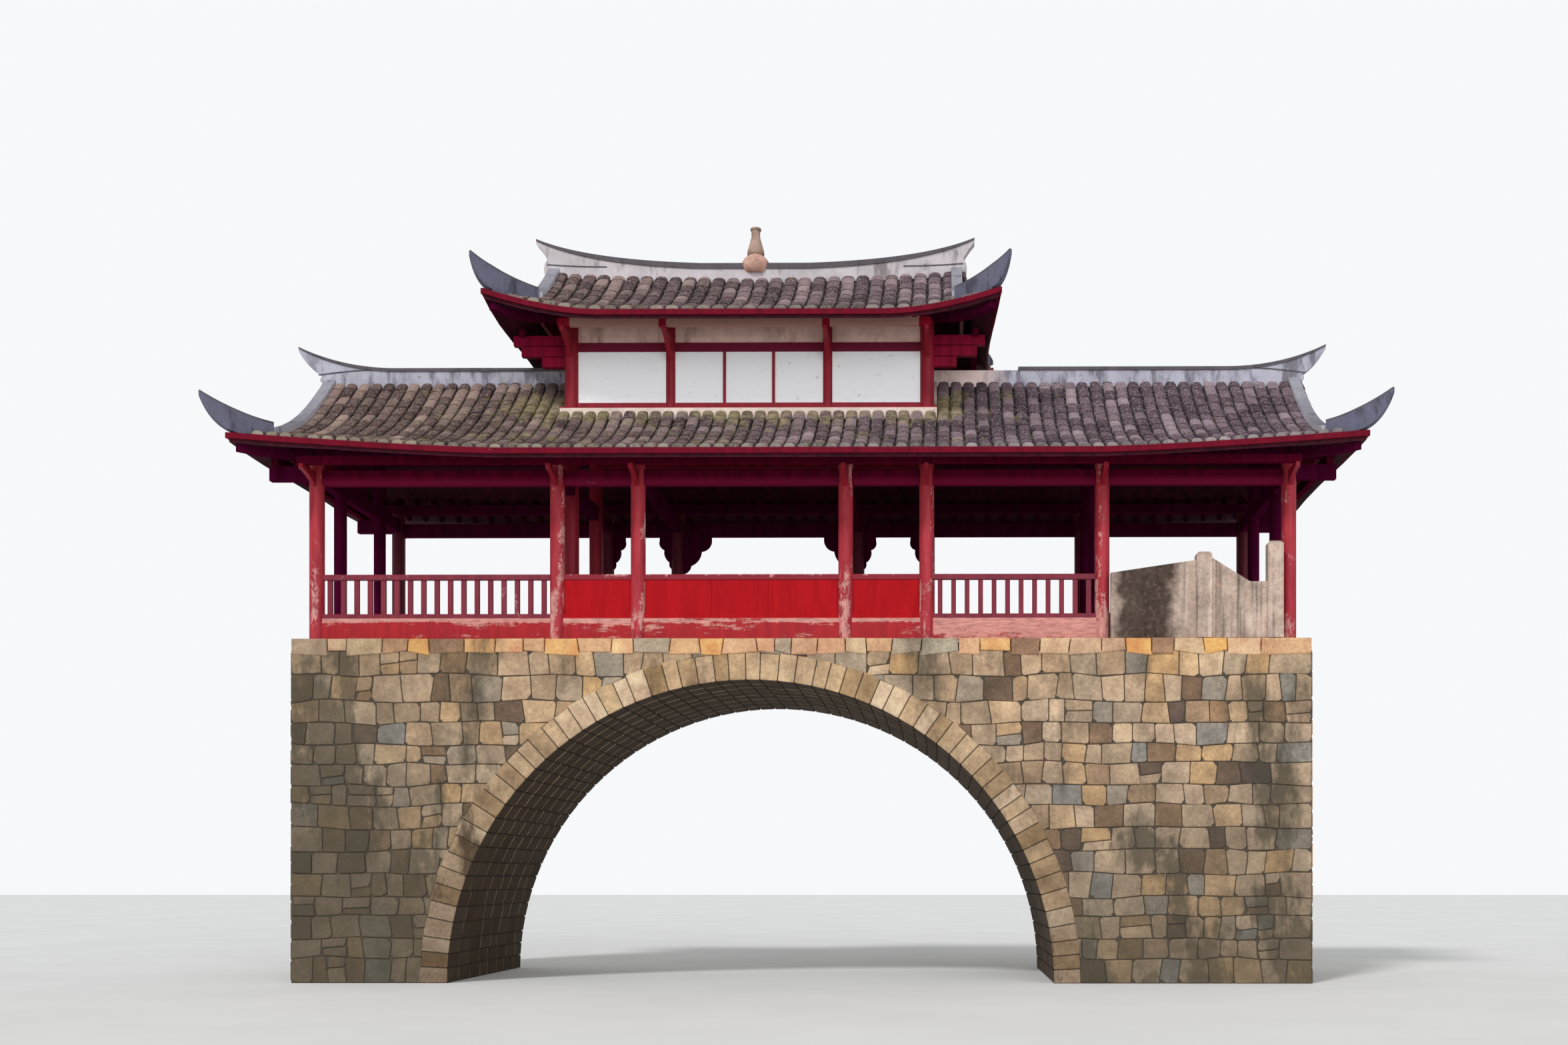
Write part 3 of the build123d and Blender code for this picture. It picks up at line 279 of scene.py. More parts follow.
@dataclass(frozen=True)
class Paint:
    """Red oil paint on timber, chalked, streaked and peeled to pink primer.

    Over the height cap and nearer to the tower's middle than cap_reach it turns to cap_colour, except at
    the marks, which give a distance from that middle and a half width. Below foot_height over the foot,
    and near the edge, it is worn more. Faces turned inwards take the inner colour, as painted shade, and
    the lowest part, up to foot_height over the foot, can turn lighter as a painted highlight.
    """

    name: str
    colour: Triple
    shade: Triple
    primer: Triple = (0.66, 0.27, 0.26)
    peel: float = 0.62
    foot: float = 0.0
    foot_height: float = 0.35
    edge: float = 0.0
    edge_height: float = 0.12
    edge_share: float = 0.2
    bare_x: float = 0.0
    gloss: float = 0.22
    stretch: Triple = (1, 1, 1)
    cap: float = 0.0
    cap_colour: Triple = (0.25, 0.028, 0.042)
    cap_reach: float = 99.0
    marks: tuple = ()
    mark_colour: Triple = (0.27, 0.009, 0.024)
    # colour of the painted highlight on the lowest part of the piece
    painted_low_highlight: tuple = ()
    # colour of the painted shade on faces turned inwards
    inner: tuple = ()

    def material(self) -> Material:
        """Build the painted finish.

        Returns:
            The material.
        """
        graph = Graph(self.name)
        z = graph.along("Z")
        base = graph.ramp(graph.noise(9, 5, 0.6, (1, 1, 0.12)), (0.3, self.shade), (0.62, self.colour))
        if self.cap > 0:
            across = abs(graph.along("X") - TOWER_X)
            above = z.over(self.cap) * across.under(self.cap_reach)
            base = graph.mix(above, base, self.cap_colour)
            for offset, half in self.marks:
                base = graph.mix(abs(across - offset).under(half) * above, base, self.mark_colour)
        # painted highlight: the lowest part, up to foot_height over the foot, turns to a lighter red as if
        # lit from below
        if self.painted_low_highlight:
            low = z.span(self.foot + self.foot_height, self.foot + self.foot_height * 0.4)
            base = graph.mix(low * 0.75, base, self.painted_low_highlight)
        worn = graph.noise(3.6, 8, 0.68, self.stretch) * 0.75 + graph.noise(17, 5, 0.7) * 0.25
        if self.foot > 0:
            worn += z.span(self.foot + self.foot_height, self.foot) * 0.09
        if self.edge > 0:
            worn += z.span(self.edge - self.edge_height, self.edge) * self.edge_share
            worn += z.span(self.edge - 0.085, self.edge - 0.045) * 0.085
        if self.bare_x > 0:
            worn += graph.along("X").over(self.bare_x, 0.4) * 0.13
        peeled = worn.span(self.peel, self.peel + 0.05)
        chips = graph.ramp(graph.noise(15, 5, 0.7, self.stretch), (0.3, shaded(self.primer, 0.55)),
                           (0.5, self.primer), (0.68, shaded(self.primer, 1.3)))
        colour = graph.mix(peeled * 0.85, base, chips)
        # painted shade: faces turned towards the inside of the bridge take the darker inner colour
        if self.inner:
            outward = graph.along("Y") * graph.facing("Y")
            colour = graph.mix(outward.span(0.4, -0.6) * 0.85, colour, self.inner)
        dusty = graph.mix(graph.facing().span(0.6, 0.95) * 0.45, colour, shaded(self.primer, 1.1))
        height = graph.noise(60, 3, 0.5, (1, 1, 0.15)) - peeled * 0.8
        return graph.finish(dusty, peeled * 0.3 + 0.5, height, 0.003, self.gloss)


@dataclass(frozen=True)
class Stone:
    """Weathered stone: each block's own tone, veins, lichen and damp, and moss between two places along X.

    It darkens towards the left end, and towards the foot, partly as damp and partly as painted shade;
    faces that don't face along Y darken as painted shade inside the arch.
    """

    name: str
    tones: tuple
    grain: float = 22.0
    damp: float = 0.5
    damp_and_shade_colour: Triple = (0.062, 0.054, 0.036)
    streak: float = 0.0
    depth: float = 0.012
    left_dark: float = 0.0
    foot_dark: float = 0.0
    painted_shade_inside: float = 0.0
    moss_x: tuple = ()

    def material(self) -> Material:
        """Build the stone finish.

        Returns:
            The material.
        """
        graph = Graph(self.name)
        x, z = graph.along("X"), graph.along("Z")
        step = 1 / (len(self.tones) - 1)
        block = graph.ramp(graph.tone(), *((index * step, tone) for index, tone in enumerate(self.tones)))
        cloud = graph.ramp(graph.noise(3.1, 5, 0.6), (0.32, (0.3, 0.27, 0.24)), (0.55, (0.62, 0.6, 0.56)),
                           (0.72, (0.95, 0.9, 0.8)))
        mottled = graph.mix(0.55, block, cloud, "OVERLAY")
        warmed = graph.mix(z.span(3.9, 5.0) * 0.55, mottled, (1.0, 0.92, 0.78), "MULTIPLY")
        fine = graph.noise(self.grain, 6, 0.7)
        grains = graph.ramp(fine, (0.3, (0.25, 0.25, 0.25)), (0.7, (0.8, 0.8, 0.8)))
        speckled = graph.mix(0.5, warmed, grains, "OVERLAY")
        # random damp patches; the darkening towards the left end and the foot, and the painted shade inside,
        # add to this share of the damp colour
        damp_and_shade = graph.noise(0.9, 5, 0.65, (1, 1, 0.45)).span(self.damp, self.damp + 0.16)
        # darker towards the left end
        if self.left_dark > 0:
            damp_and_shade = graph.compute("MINIMUM", damp_and_shade + x.span(-3.5, -7.5) * self.left_dark, 0.85)
        # darker towards the foot: partly damp rising from the ground, partly painted shade
        if self.foot_dark > 0:
            low = (z + graph.noise(0.8, 5, 0.6) * 2.4).span(5.2, 1.7)
            damp_and_shade = graph.compute("MINIMUM", damp_and_shade + low * self.foot_dark, 0.9)
        # painted shade: faces that don't face along Y, such as the arch's underside, take the dark colour
        # fully
        if self.painted_shade_inside > 0:
            inside = abs(graph.facing("Y")).span(0.7, 0.2)
            damp_and_shade = graph.compute("MAXIMUM", damp_and_shade, inside * self.painted_shade_inside)
        stained = graph.mix(damp_and_shade * 0.95, speckled, self.damp_and_shade_colour)
        height = fine + graph.noise(7, 4, 0.6) * 1.4
        if self.streak > 0:
            groove = graph.noise(self.streak, 2, 0.4, (1, 1, 0.03))
            height += groove * 2.2
            lines = graph.ramp(groove, (0.30, (0.14, 0.13, 0.12)), (0.42, (0.5, 0.5, 0.5)),
                               (0.66, (0.66, 0.64, 0.62)))
            stained = graph.mix(0.75, stained, lines, "OVERLAY")
        if self.moss_x:
            first, last = self.moss_x
            place = x + graph.noise(2.5, 4, 0.6) * 0.5
            share = place.span(first + 0.1, first + 0.3) * place.span(last + 0.4, last + 0.2)
            moss = graph.ramp(graph.noise(14, 5, 0.7), (0.35, (0.016, 0.009, 0.006)),
                              (0.55, (0.050, 0.030, 0.020)), (0.72, (0.15, 0.105, 0.085)))
            stained = graph.mix(share * 0.92, stained, moss)
        return graph.finish(stained, 0.88, height, self.depth, 0.25)


@dataclass(frozen=True)
class Mortar:
    """Dark crumbly mortar behind the blocks."""

    name: str
    colour: Triple

    def material(self) -> Material:
        """Build the mortar.

        Returns:
            The material.
        """
        graph = Graph(self.name)
        fine = graph.noise(38, 5, 0.7)
        colour = graph.ramp(fine, (0.3, shaded(self.colour, 0.55)), (0.72, self.colour))
        return graph.finish(colour, 0.95, fine, 0.01, 0.15)


@dataclass(frozen=True)
class Tile:
    """Fired clay tile: a tone for each tile, lichen specks, soot and moss, with near black boards below as
    painted shade.
    """

    name: str
    dark: Triple
    mid: Triple
    light: Triple
    moss: float = 0.63
    under: tuple = ()

    def material(self) -> Material:
        """Build the tile finish.

        Returns:
            The material.
        """
        graph = Graph(self.name)
        x, z = graph.along("X"), graph.along("Z")
        own = graph.ramp(graph.tone(), (0.0, self.dark), (0.5, self.mid), (1.0, self.light))
        cloud = graph.ramp(graph.noise(1.6, 5, 0.65), (0.34, (0.28, 0.27, 0.28)), (0.66, (0.72, 0.7, 0.72)))
        broad = graph.mix(0.6, own, cloud, "OVERLAY")
        specks = graph.noise(26, 5, 0.75).span(0.53, 0.62)
        spotted = graph.mix(specks * 0.7, broad, (0.42, 0.36, 0.35))
        soot = graph.noise(12, 4, 0.7).span(0.58, 0.68)
        smoked = graph.mix(soot * 0.65, spotted, (0.045, 0.038, 0.042))
        left = x.span(3.0, -6.0)
        olive = graph.mix(left * 0.8, smoked, (1.0, 0.95, 0.66), "MULTIPLY")
        by_tower = abs(x + 1.0).span(5.2, 3.2) * z.span(9.9, 9.6)
        damp = graph.noise(2.3, 8, 0.72) + left * 0.03 + by_tower * (z.span(8.8, 9.15) * 0.12 + 0.08)
        mossy = damp.span(self.moss, self.moss + 0.08)
        green = graph.ramp(graph.noise(9, 4), (0.35, (0.12, 0.105, 0.045)), (0.6, (0.34, 0.275, 0.15)))
        colour = graph.mix(mossy * 0.72, olive, green)
        # painted shade: faces turned down, the roof's underside, take near black boards
        if self.under:
            boards = graph.ramp(graph.noise(9, 3, 0.5, (1, 0.1, 1)), (0.3, shaded(self.under, 0.6)),
                                (0.7, shaded(self.under, 1.5)))
            colour = graph.mix(graph.facing().span(0.5, 0.3), colour, boards)
        height = graph.noise(45, 4, 0.7) + mossy * 0.7
        return graph.finish(colour, 0.85, height, 0.004, 0.2)


@dataclass(frozen=True)
class Plaster:
    """Limewash with rain streaks, soot and chips, creamy up to cream_x and red over red_top."""

    name: str
    colour: Triple
    dirt: Triple
    dirty: float = 0.56
    streak: float = 4.0
    foot: float = 0.0
    foot_height: float = 0.3
    clean: float = 0.72
    cream_x: float = 0.0
    red_top: float = 0.0

    def material(self) -> Material:
        """Build the limewash.

        Returns:
            The material.
        """
        graph = Graph(self.name)
        x, z = graph.along("X"), graph.along("Z")
        base = graph.ramp(graph.noise(2.6, 6, 0.65), (0.3, shaded(self.colour, self.clean)),
                          (0.62, self.colour))
        rain = graph.noise(self.streak, 5, 0.65, (1, 1, 0.28))
        if self.foot > 0:
            rain += z.span(self.foot + self.foot_height, self.foot) * 0.14
        stain = rain.span(self.dirty, self.dirty + 0.14)
        if self.cream_x > 0:
            near = x.span(self.cream_x + 0.3, self.cream_x - 0.2) * x.span(0.0, 0.5)
            warm = near * z.span(11.0, 10.8) * 0.95
            base = graph.mix(warm, base, (1.0, 0.78, 0.72))
            stain *= 1.0 - warm * 0.6
        colour = graph.mix(stain * 0.75, base, self.dirt)
        chips = graph.noise(17, 5, 0.7).span(0.65, 0.69)
        chipped = graph.mix(chips * 0.6, colour, shaded(self.dirt, 0.7))
        capped = graph.mix(graph.facing().span(0.5, 0.9) * 0.8, chipped, shaded(self.dirt, 0.55))
        if self.red_top > 0:
            band = z.over(self.red_top) * z.span(self.red_top + 0.12, self.red_top + 0.11)
            long_face = abs(graph.facing("Y")).span(0.4, 0.6)
            painted = graph.ramp(graph.noise(9, 5, 0.6), (0.3, (0.24, 0.008, 0.02)),
                                 (0.65, (0.36, 0.014, 0.03)))
            capped = graph.mix(band * long_face, capped, painted)
        height = graph.noise(24, 5, 0.7) - chips * 0.6
        return graph.finish(capped, 0.85, height, 0.006, 0.25)


@dataclass(frozen=True)
class Clay:
    """Terracotta of the finial, pinkish on the bowl and brown above it."""

    name: str
    bowl: Triple
    vase: Triple
    change_z: float

    def material(self) -> Material:
        """Build the finial's finish.

        Returns:
            The material.
        """
        graph = Graph(self.name)
        body = graph.mix(graph.along("Z").over(self.change_z, 0.03), self.bowl, self.vase)
        cloud = graph.ramp(graph.noise(7, 6, 0.65), (0.3, (0.25, 0.22, 0.2)), (0.68, (0.82, 0.8, 0.78)))
        return graph.finish(graph.mix(0.6, body, cloud, "OVERLAY"), 0.7, graph.noise(30, 4), 0.004, 0.35)


def mix_finishes() -> dict[str, Material]:
    """Build every finish of the bridge.

    Returns:
        The materials by name.
    """
    pale = (0.62, 0.30, 0.27)
    sill_foot, sill_head = (corner.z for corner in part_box("sills"))
    frame_paint = Paint("frame_paint", (0.30, 0.010, 0.026), (0.20, 0.007, 0.018),
                        primer=(0.55, 0.18, 0.18), peel=0.66)
    finishes = [
        Paint("red_paint", (0.43, 0.007, 0.012), (0.34, 0.005, 0.009), primer=pale, peel=0.67,
              edge=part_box("front_boarding")[1].z, edge_height=0.04, edge_share=0.06, gloss=0.05, cap=6.316),
        # post_paint's inner colour is painted shade on the inward faces of the posts
        Paint("post_paint", (0.43, 0.034, 0.050), (0.26, 0.012, 0.022), primer=pale, peel=0.565,
              foot=sill_foot, foot_height=1.3, stretch=(1, 1, 0.3), inner=(0.060, 0.003, 0.016)),
        Paint("sill_paint", (0.40, 0.014, 0.020), (0.30, 0.009, 0.015), primer=(0.62, 0.30, 0.26),
              peel=0.572, edge=sill_head, edge_height=0.2, edge_share=0.10, bare_x=1.9,
              stretch=(0.33, 1, 2.0)),
        Paint("rail_paint", (0.22, 0.024, 0.042), (0.15, 0.015, 0.032), primer=(0.42, 0.20, 0.21),
              peel=0.60, stretch=(1, 1, 0.4)),
        # fascia_paint: a deep crimson, darkened partly as painted shade
        Paint("fascia_paint", (0.165, 0.005, 0.019), (0.11, 0.004, 0.013), primer=(0.34, 0.08, 0.09),
              peel=0.66, gloss=0.04),
        # beam_paint: a near black red with a dark primer, as painted shade under the eave; its lowest part
        # takes a painted highlight
        Paint("beam_paint", (0.11, 0.003, 0.020), (0.06, 0.002, 0.012), primer=(0.28, 0.05, 0.08),
              peel=0.68, gloss=0.0, stretch=(0.3, 1, 1), foot=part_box("front_tie_beam")[0].z,
              foot_height=0.14, painted_low_highlight=(0.19, 0.010, 0.042)),
        frame_paint,
        # the timber under the roof: red darkened to near black, with a dark primer, as painted shade
        Paint("dark_red_paint", (0.078, 0.003, 0.028), (0.045, 0.002, 0.016), primer=(0.24, 0.05, 0.07),
              peel=0.68, gloss=0.0),
        # purlin_paint: darkened as painted shade under the eaves, apart from the cap colour and the red marks
        # over the cap
        Paint("purlin_paint", (0.095, 0.003, 0.018), (0.055, 0.002, 0.011), primer=(0.24, 0.05, 0.07),
              peel=0.68, gloss=0.0, cap=9.8, cap_colour=(0.40, 0.22, 0.18), cap_reach=3.015,
              marks=((1.30, 0.06), (2.895, 0.12))),
        replace(frame_paint, name="tower_rail_paint", cap=10.0, cap_colour=(0.16, 0.004, 0.026)),
        Paint("arm_paint", (0.26, 0.005, 0.032), (0.13, 0.003, 0.018), primer=(0.42, 0.10, 0.14), peel=0.64,
              gloss=0.05),
        # soffit_boards: near black red for the rafters, as painted shade under the eaves
        Paint("soffit_boards", (0.045, 0.003, 0.018), (0.024, 0.002, 0.010), primer=(0.12, 0.03, 0.04),
              peel=0.68, gloss=0.0),
        Mortar("mortar", (0.11, 0.09, 0.07)),
        # ring_stone: its near black damp colour, taken fully inside the arch, is painted shade there and damp
        # elsewhere
        Stone("ring_stone", ((0.30, 0.20, 0.11), (0.46, 0.33, 0.21), (0.58, 0.44, 0.32),
              (0.40, 0.28, 0.17)), damp=0.55, damp_and_shade_colour=(0.026, 0.013, 0.005), left_dark=0.3,
              foot_dark=0.55, painted_shade_inside=1.0),
        Stone("rubble_stone", ((0.085, 0.062, 0.055), (0.27, 0.17, 0.10), (0.40, 0.29, 0.20),
              (0.33, 0.245, 0.17), (0.46, 0.34, 0.245), (0.42, 0.31, 0.22), (0.46, 0.30, 0.16),
              (0.52, 0.39, 0.28), (0.36, 0.28, 0.21), (0.24, 0.23, 0.215)), damp=0.52, left_dark=0.5,
              foot_dark=0.7),
        Stone("coping_stone", ((0.16, 0.10, 0.075), (0.60, 0.37, 0.23), (0.70, 0.38, 0.14),
              (0.68, 0.44, 0.30), (0.52, 0.41, 0.28), (0.64, 0.36, 0.23), (0.38, 0.35, 0.29)), damp=0.58,
              left_dark=0.3),
        Stone("paving_stone", ((0.22, 0.21, 0.20), (0.34, 0.32, 0.29)), damp=0.5),
        Stone("slab_stone", ((0.41, 0.335, 0.315), (0.41, 0.335, 0.315)), damp=0.56, streak=15,
              damp_and_shade_colour=(0.12, 0.09, 0.07), moss_x=(4.95, 5.75)),
        Tile("cover_tile", (0.046, 0.027, 0.038), (0.120, 0.078, 0.098), (0.31, 0.23, 0.255)),
        # channel_tile: near black, as painted shade in the channels between the cover tiles and on the roof's
        # underside
        Tile("channel_tile", (0.018, 0.014, 0.018), (0.03, 0.024, 0.03), (0.05, 0.04, 0.045), moss=0.62,
             under=(0.045, 0.004, 0.012)),
        Tile("eave_tile", (0.15, 0.13, 0.13), (0.26, 0.235, 0.23), (0.38, 0.35, 0.34), moss=0.68),
        Clay("terracotta", (0.52, 0.31, 0.25), (0.36, 0.25, 0.20), 12.12),
        Plaster("low_ridge_plaster", (0.47, 0.46, 0.54), (0.11, 0.10, 0.125), dirty=0.475, streak=5.5,
                cream_x=3.05),
        Plaster("slope_ridge_plaster", (0.56, 0.55, 0.62), (0.14, 0.125, 0.15), dirty=0.53),
        Plaster("ridge_plaster", (0.60, 0.55, 0.57), (0.15, 0.12, 0.13), dirty=0.53, cream_x=3.05),
        Plaster("hip_plaster", (0.15, 0.15, 0.215), (0.040, 0.036, 0.052), dirty=0.51, streak=6.0),
        Plaster("kerb_plaster", (0.84, 0.68, 0.60), (0.36, 0.25, 0.21), dirty=0.58,
                red_top=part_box("tower_rails")[0].z - 0.015),
        Plaster("dark_coping", (0.12, 0.105, 0.12), (0.05, 0.04, 0.045), dirty=0.55),
        Plaster("white_panel", (0.97, 0.98, 1.0), (0.62, 0.52, 0.48), dirty=0.70, streak=2.2,
                foot=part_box("tower_panels")[0].z, foot_height=0.08, clean=0.98),
        Plaster("cream_panel", (0.95, 0.64, 0.54), (0.36, 0.19, 0.15), dirty=0.52, streak=3.0),
    ]
    return {finish.name: finish.material() for finish in finishes}


def placed(name: str, data: bpy.types.ID) -> bpy.types.Object:
    """Put a new object into the scene.

    Args:
        name: its name.
        data: its mesh, light or camera.

    Returns:
        The object.
    """
    thing = bpy.data.objects.new(name, data)
    bpy.context.scene.collection.objects.link(thing)
    return thing


def mesh_of(bm: BMesh, name: str) -> Mesh:
    """Turn a bmesh into a mesh.

    Args:
        bm: the bmesh, freed afterwards.
        name: the mesh's name.

    Returns:
        The mesh.
    """
    made = bpy.data.meshes.new(name)
    bm.to_mesh(made)
    bm.free()
    return made


def flat_mesh(bm: BMesh) -> Mesh:
    """Turn a bmesh into a flat shaded mesh with a tone attribute.

    Args:
        bm: the bmesh, freed afterwards.

    Returns:
        The mesh.
    """
    bmesh.ops.recalc_face_normals(bm, faces=bm.faces)
    for face in bm.faces:
        face.smooth = False
    made = mesh_of(bm, "shape")
    made.attributes.new(TONE, "FLOAT", "POINT")
    return made


def soft_block(size: Triple, edge: float = 0.0, taper: float = 1.0) -> Mesh:
    """A block with softened edges, narrower at its foot where it tapers.

    Args:
        size: its size along X, Y and Z.
        edge: the width of its bevel.
        taper: its foot's width over its head's.

    Returns:
        The mesh.
    """
    bm = bmesh.new()
    bmesh.ops.create_cube(bm, size=1)
    bmesh.ops.scale(bm, vec=(taper, 1, 1), verts=[v for v in bm.verts if v.co.z < 0])
    bmesh.ops.scale(bm, vec=size, verts=bm.verts)
    if edge > 0:
        bmesh.ops.bevel(bm, geom=list(bm.edges), offset=edge, offset_type="OFFSET", affect="EDGES",
                        segments=1, profile=0.5, material=-1)
    return flat_mesh(bm)


def half_pipe(width: float, rise: float, length: float, taper: float, power: float = 3.0) -> Mesh:
    """A cover tile along Y with a flattened crown, closed below, wider at its lower end at -Y.

    Args:
        width: its width across X at the lower end.
        rise: its height.
        length: its length along Y.
        taper: the upper end's size over the lower end's.
        power: how square its section is, 2 for round.

    Returns:
        The mesh.
    """
    bm = bmesh.new()
    bmesh.ops.create_cone(bm, cap_ends=True, segments=12, radius1=1, radius2=taper, depth=1,
                          matrix=Matrix.Rotation(math.radians(-90), 4, "X"))
    for vert in bm.verts:
        radius = math.hypot(vert.co.x, vert.co.z)
        squared = (abs(vert.co.x) ** power + abs(vert.co.z) ** power) ** (1 / power)
        vert.co.x *= radius / squared
        vert.co.z *= radius / squared
    cut = bmesh.ops.bisect_plane(bm, geom=[*bm.verts, *bm.edges, *bm.faces], dist=1e-4,
                                 plane_co=(0, 0, 0), plane_no=(0, 0, 1), clear_inner=True)
    rim = [e for e in cut["geom_cut"] if isinstance(e, bmesh.types.BMEdge)]
    bmesh.ops.holes_fill(bm, edges=rim, sides=0)
    bmesh.ops.scale(bm, vec=(width / 2, length, rise), verts=bm.verts)
    return flat_mesh(bm)


def raise_faces(bm: BMesh, height: float) -> set[bmesh.types.BMVert]:
    """Turn flat faces into closed bodies.

    Args:
        bm: the bmesh with the faces.
        height: how far they go up.

    Returns:
        The raised vertices.
    """
    raised = bmesh.ops.extrude_face_region(bm, geom=list(bm.faces))
    top = [v for v in raised["geom"] if isinstance(v, bmesh.types.BMVert)]
    bmesh.ops.translate(bm, vec=(0, 0, height), verts=top)
    return set(top)


def fix_order(bm: BMesh) -> None:
    """Put the vertices, edges and faces in the same order in every run, by their places.

    Args:
        bm: the bmesh, whose order changes from run to run where many faces were extruded.
    """
    bm.verts.sort(key=lambda vert: vert.co.dot(ORDER))
    bm.edges.sort(key=lambda edge: (edge.verts[0].co + edge.verts[1].co).dot(ORDER))
    bm.faces.sort(key=lambda face: face.calc_center_median().dot(ORDER))


@dataclass
class Pile:
    """One piece gathered from many placed small shapes, with its finish and its slot name."""

    name: str
    material: Material
    slot: str
    count: int = 0

    def __post_init__(self) -> None:
        """Start empty."""
        self.bm = bmesh.new()
        self.bm.verts.layers.float.new(TONE)

    def add(self, shape: Mesh, place: Matrix, tone: float) -> None:
        """Place a copy of a shape, which stays as it is."""
        self.add_once(shape.copy(), place, tone)

    def add_once(self, shape: Mesh, place: Matrix, tone: float) -> None:
        """Place a shape and let it go.

        Args:
            shape: the mesh.
            place: where it goes.
            tone: its own tone, from 0 to 1.
        """
        shape.transform(place)
        shape.attributes[TONE].data.foreach_set("value", [tone] * len(shape.vertices))
        self.bm.from_mesh(shape)
        bpy.data.meshes.remove(shape)
        self.count += 1

    def finish(self, *stands_for: str) -> None:
        """Make the piece and set it on the bridge.

        Args:
            stands_for: the CAD nodes that it replaces.
        """
        made = mesh_of(self.bm, self.name)
        made.materials.append(self.material)
        piece = placed(self.name, made)
        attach(piece, BODY)
        if stands_for:
            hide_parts(*stands_for)
        log.info("%s: %d shapes, %d faces", self.name, self.count, len(made.polygons))


def surface(node: str) -> BVHTree:
    """A search tree over a CAD node, for finding heights on it.

    Args:
        node: the node's name.

    Returns:
        The tree.
    """
    gathered = bmesh.new()
    gathered.from_mesh(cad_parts[node].data)
    tree = BVHTree.FromBMesh(gathered)
    gathered.free()
    return tree


def basis(place: Vector, along: Vector, up: Vector) -> Matrix:
    """A matrix whose Y runs along a direction and whose Z leans to another.

    Args:
        place: the origin.
        along: the direction of Y.
        up: about the direction of Z.

    Returns:
        The matrix.
    """
    y_axis = along.normalized()
    x_axis = y_axis.cross(up).normalized()
    turn = Matrix((x_axis, y_axis, x_axis.cross(y_axis))).transposed().to_4x4()
    return Matrix.Translation(place) @ turn


@dataclass
class Assembly:
    """A sub-assembly: the finishes by name, and the CAD nodes that take each of them."""

    DRESS: ClassVar[dict[str, str]] = {}
    finishes: dict[str, Material]

    def dress(self) -> None:
        """Give the CAD nodes their finishes through their own material slots."""
        for name, nodes in self.DRESS.items():
            for node in nodes.split():
                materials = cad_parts[node].data.materials
                if not materials:
                    materials.append(self.finishes[name])
                for index in range(len(materials)):
                    materials[index] = self.finishes[name]


@dataclass
class Wall:
    """A flat drawing of one wall face, X along it and Y up: where its stones go and what bounds it."""

    pile: Pile
    place: Matrix
    half: float
    arch: float | None = None


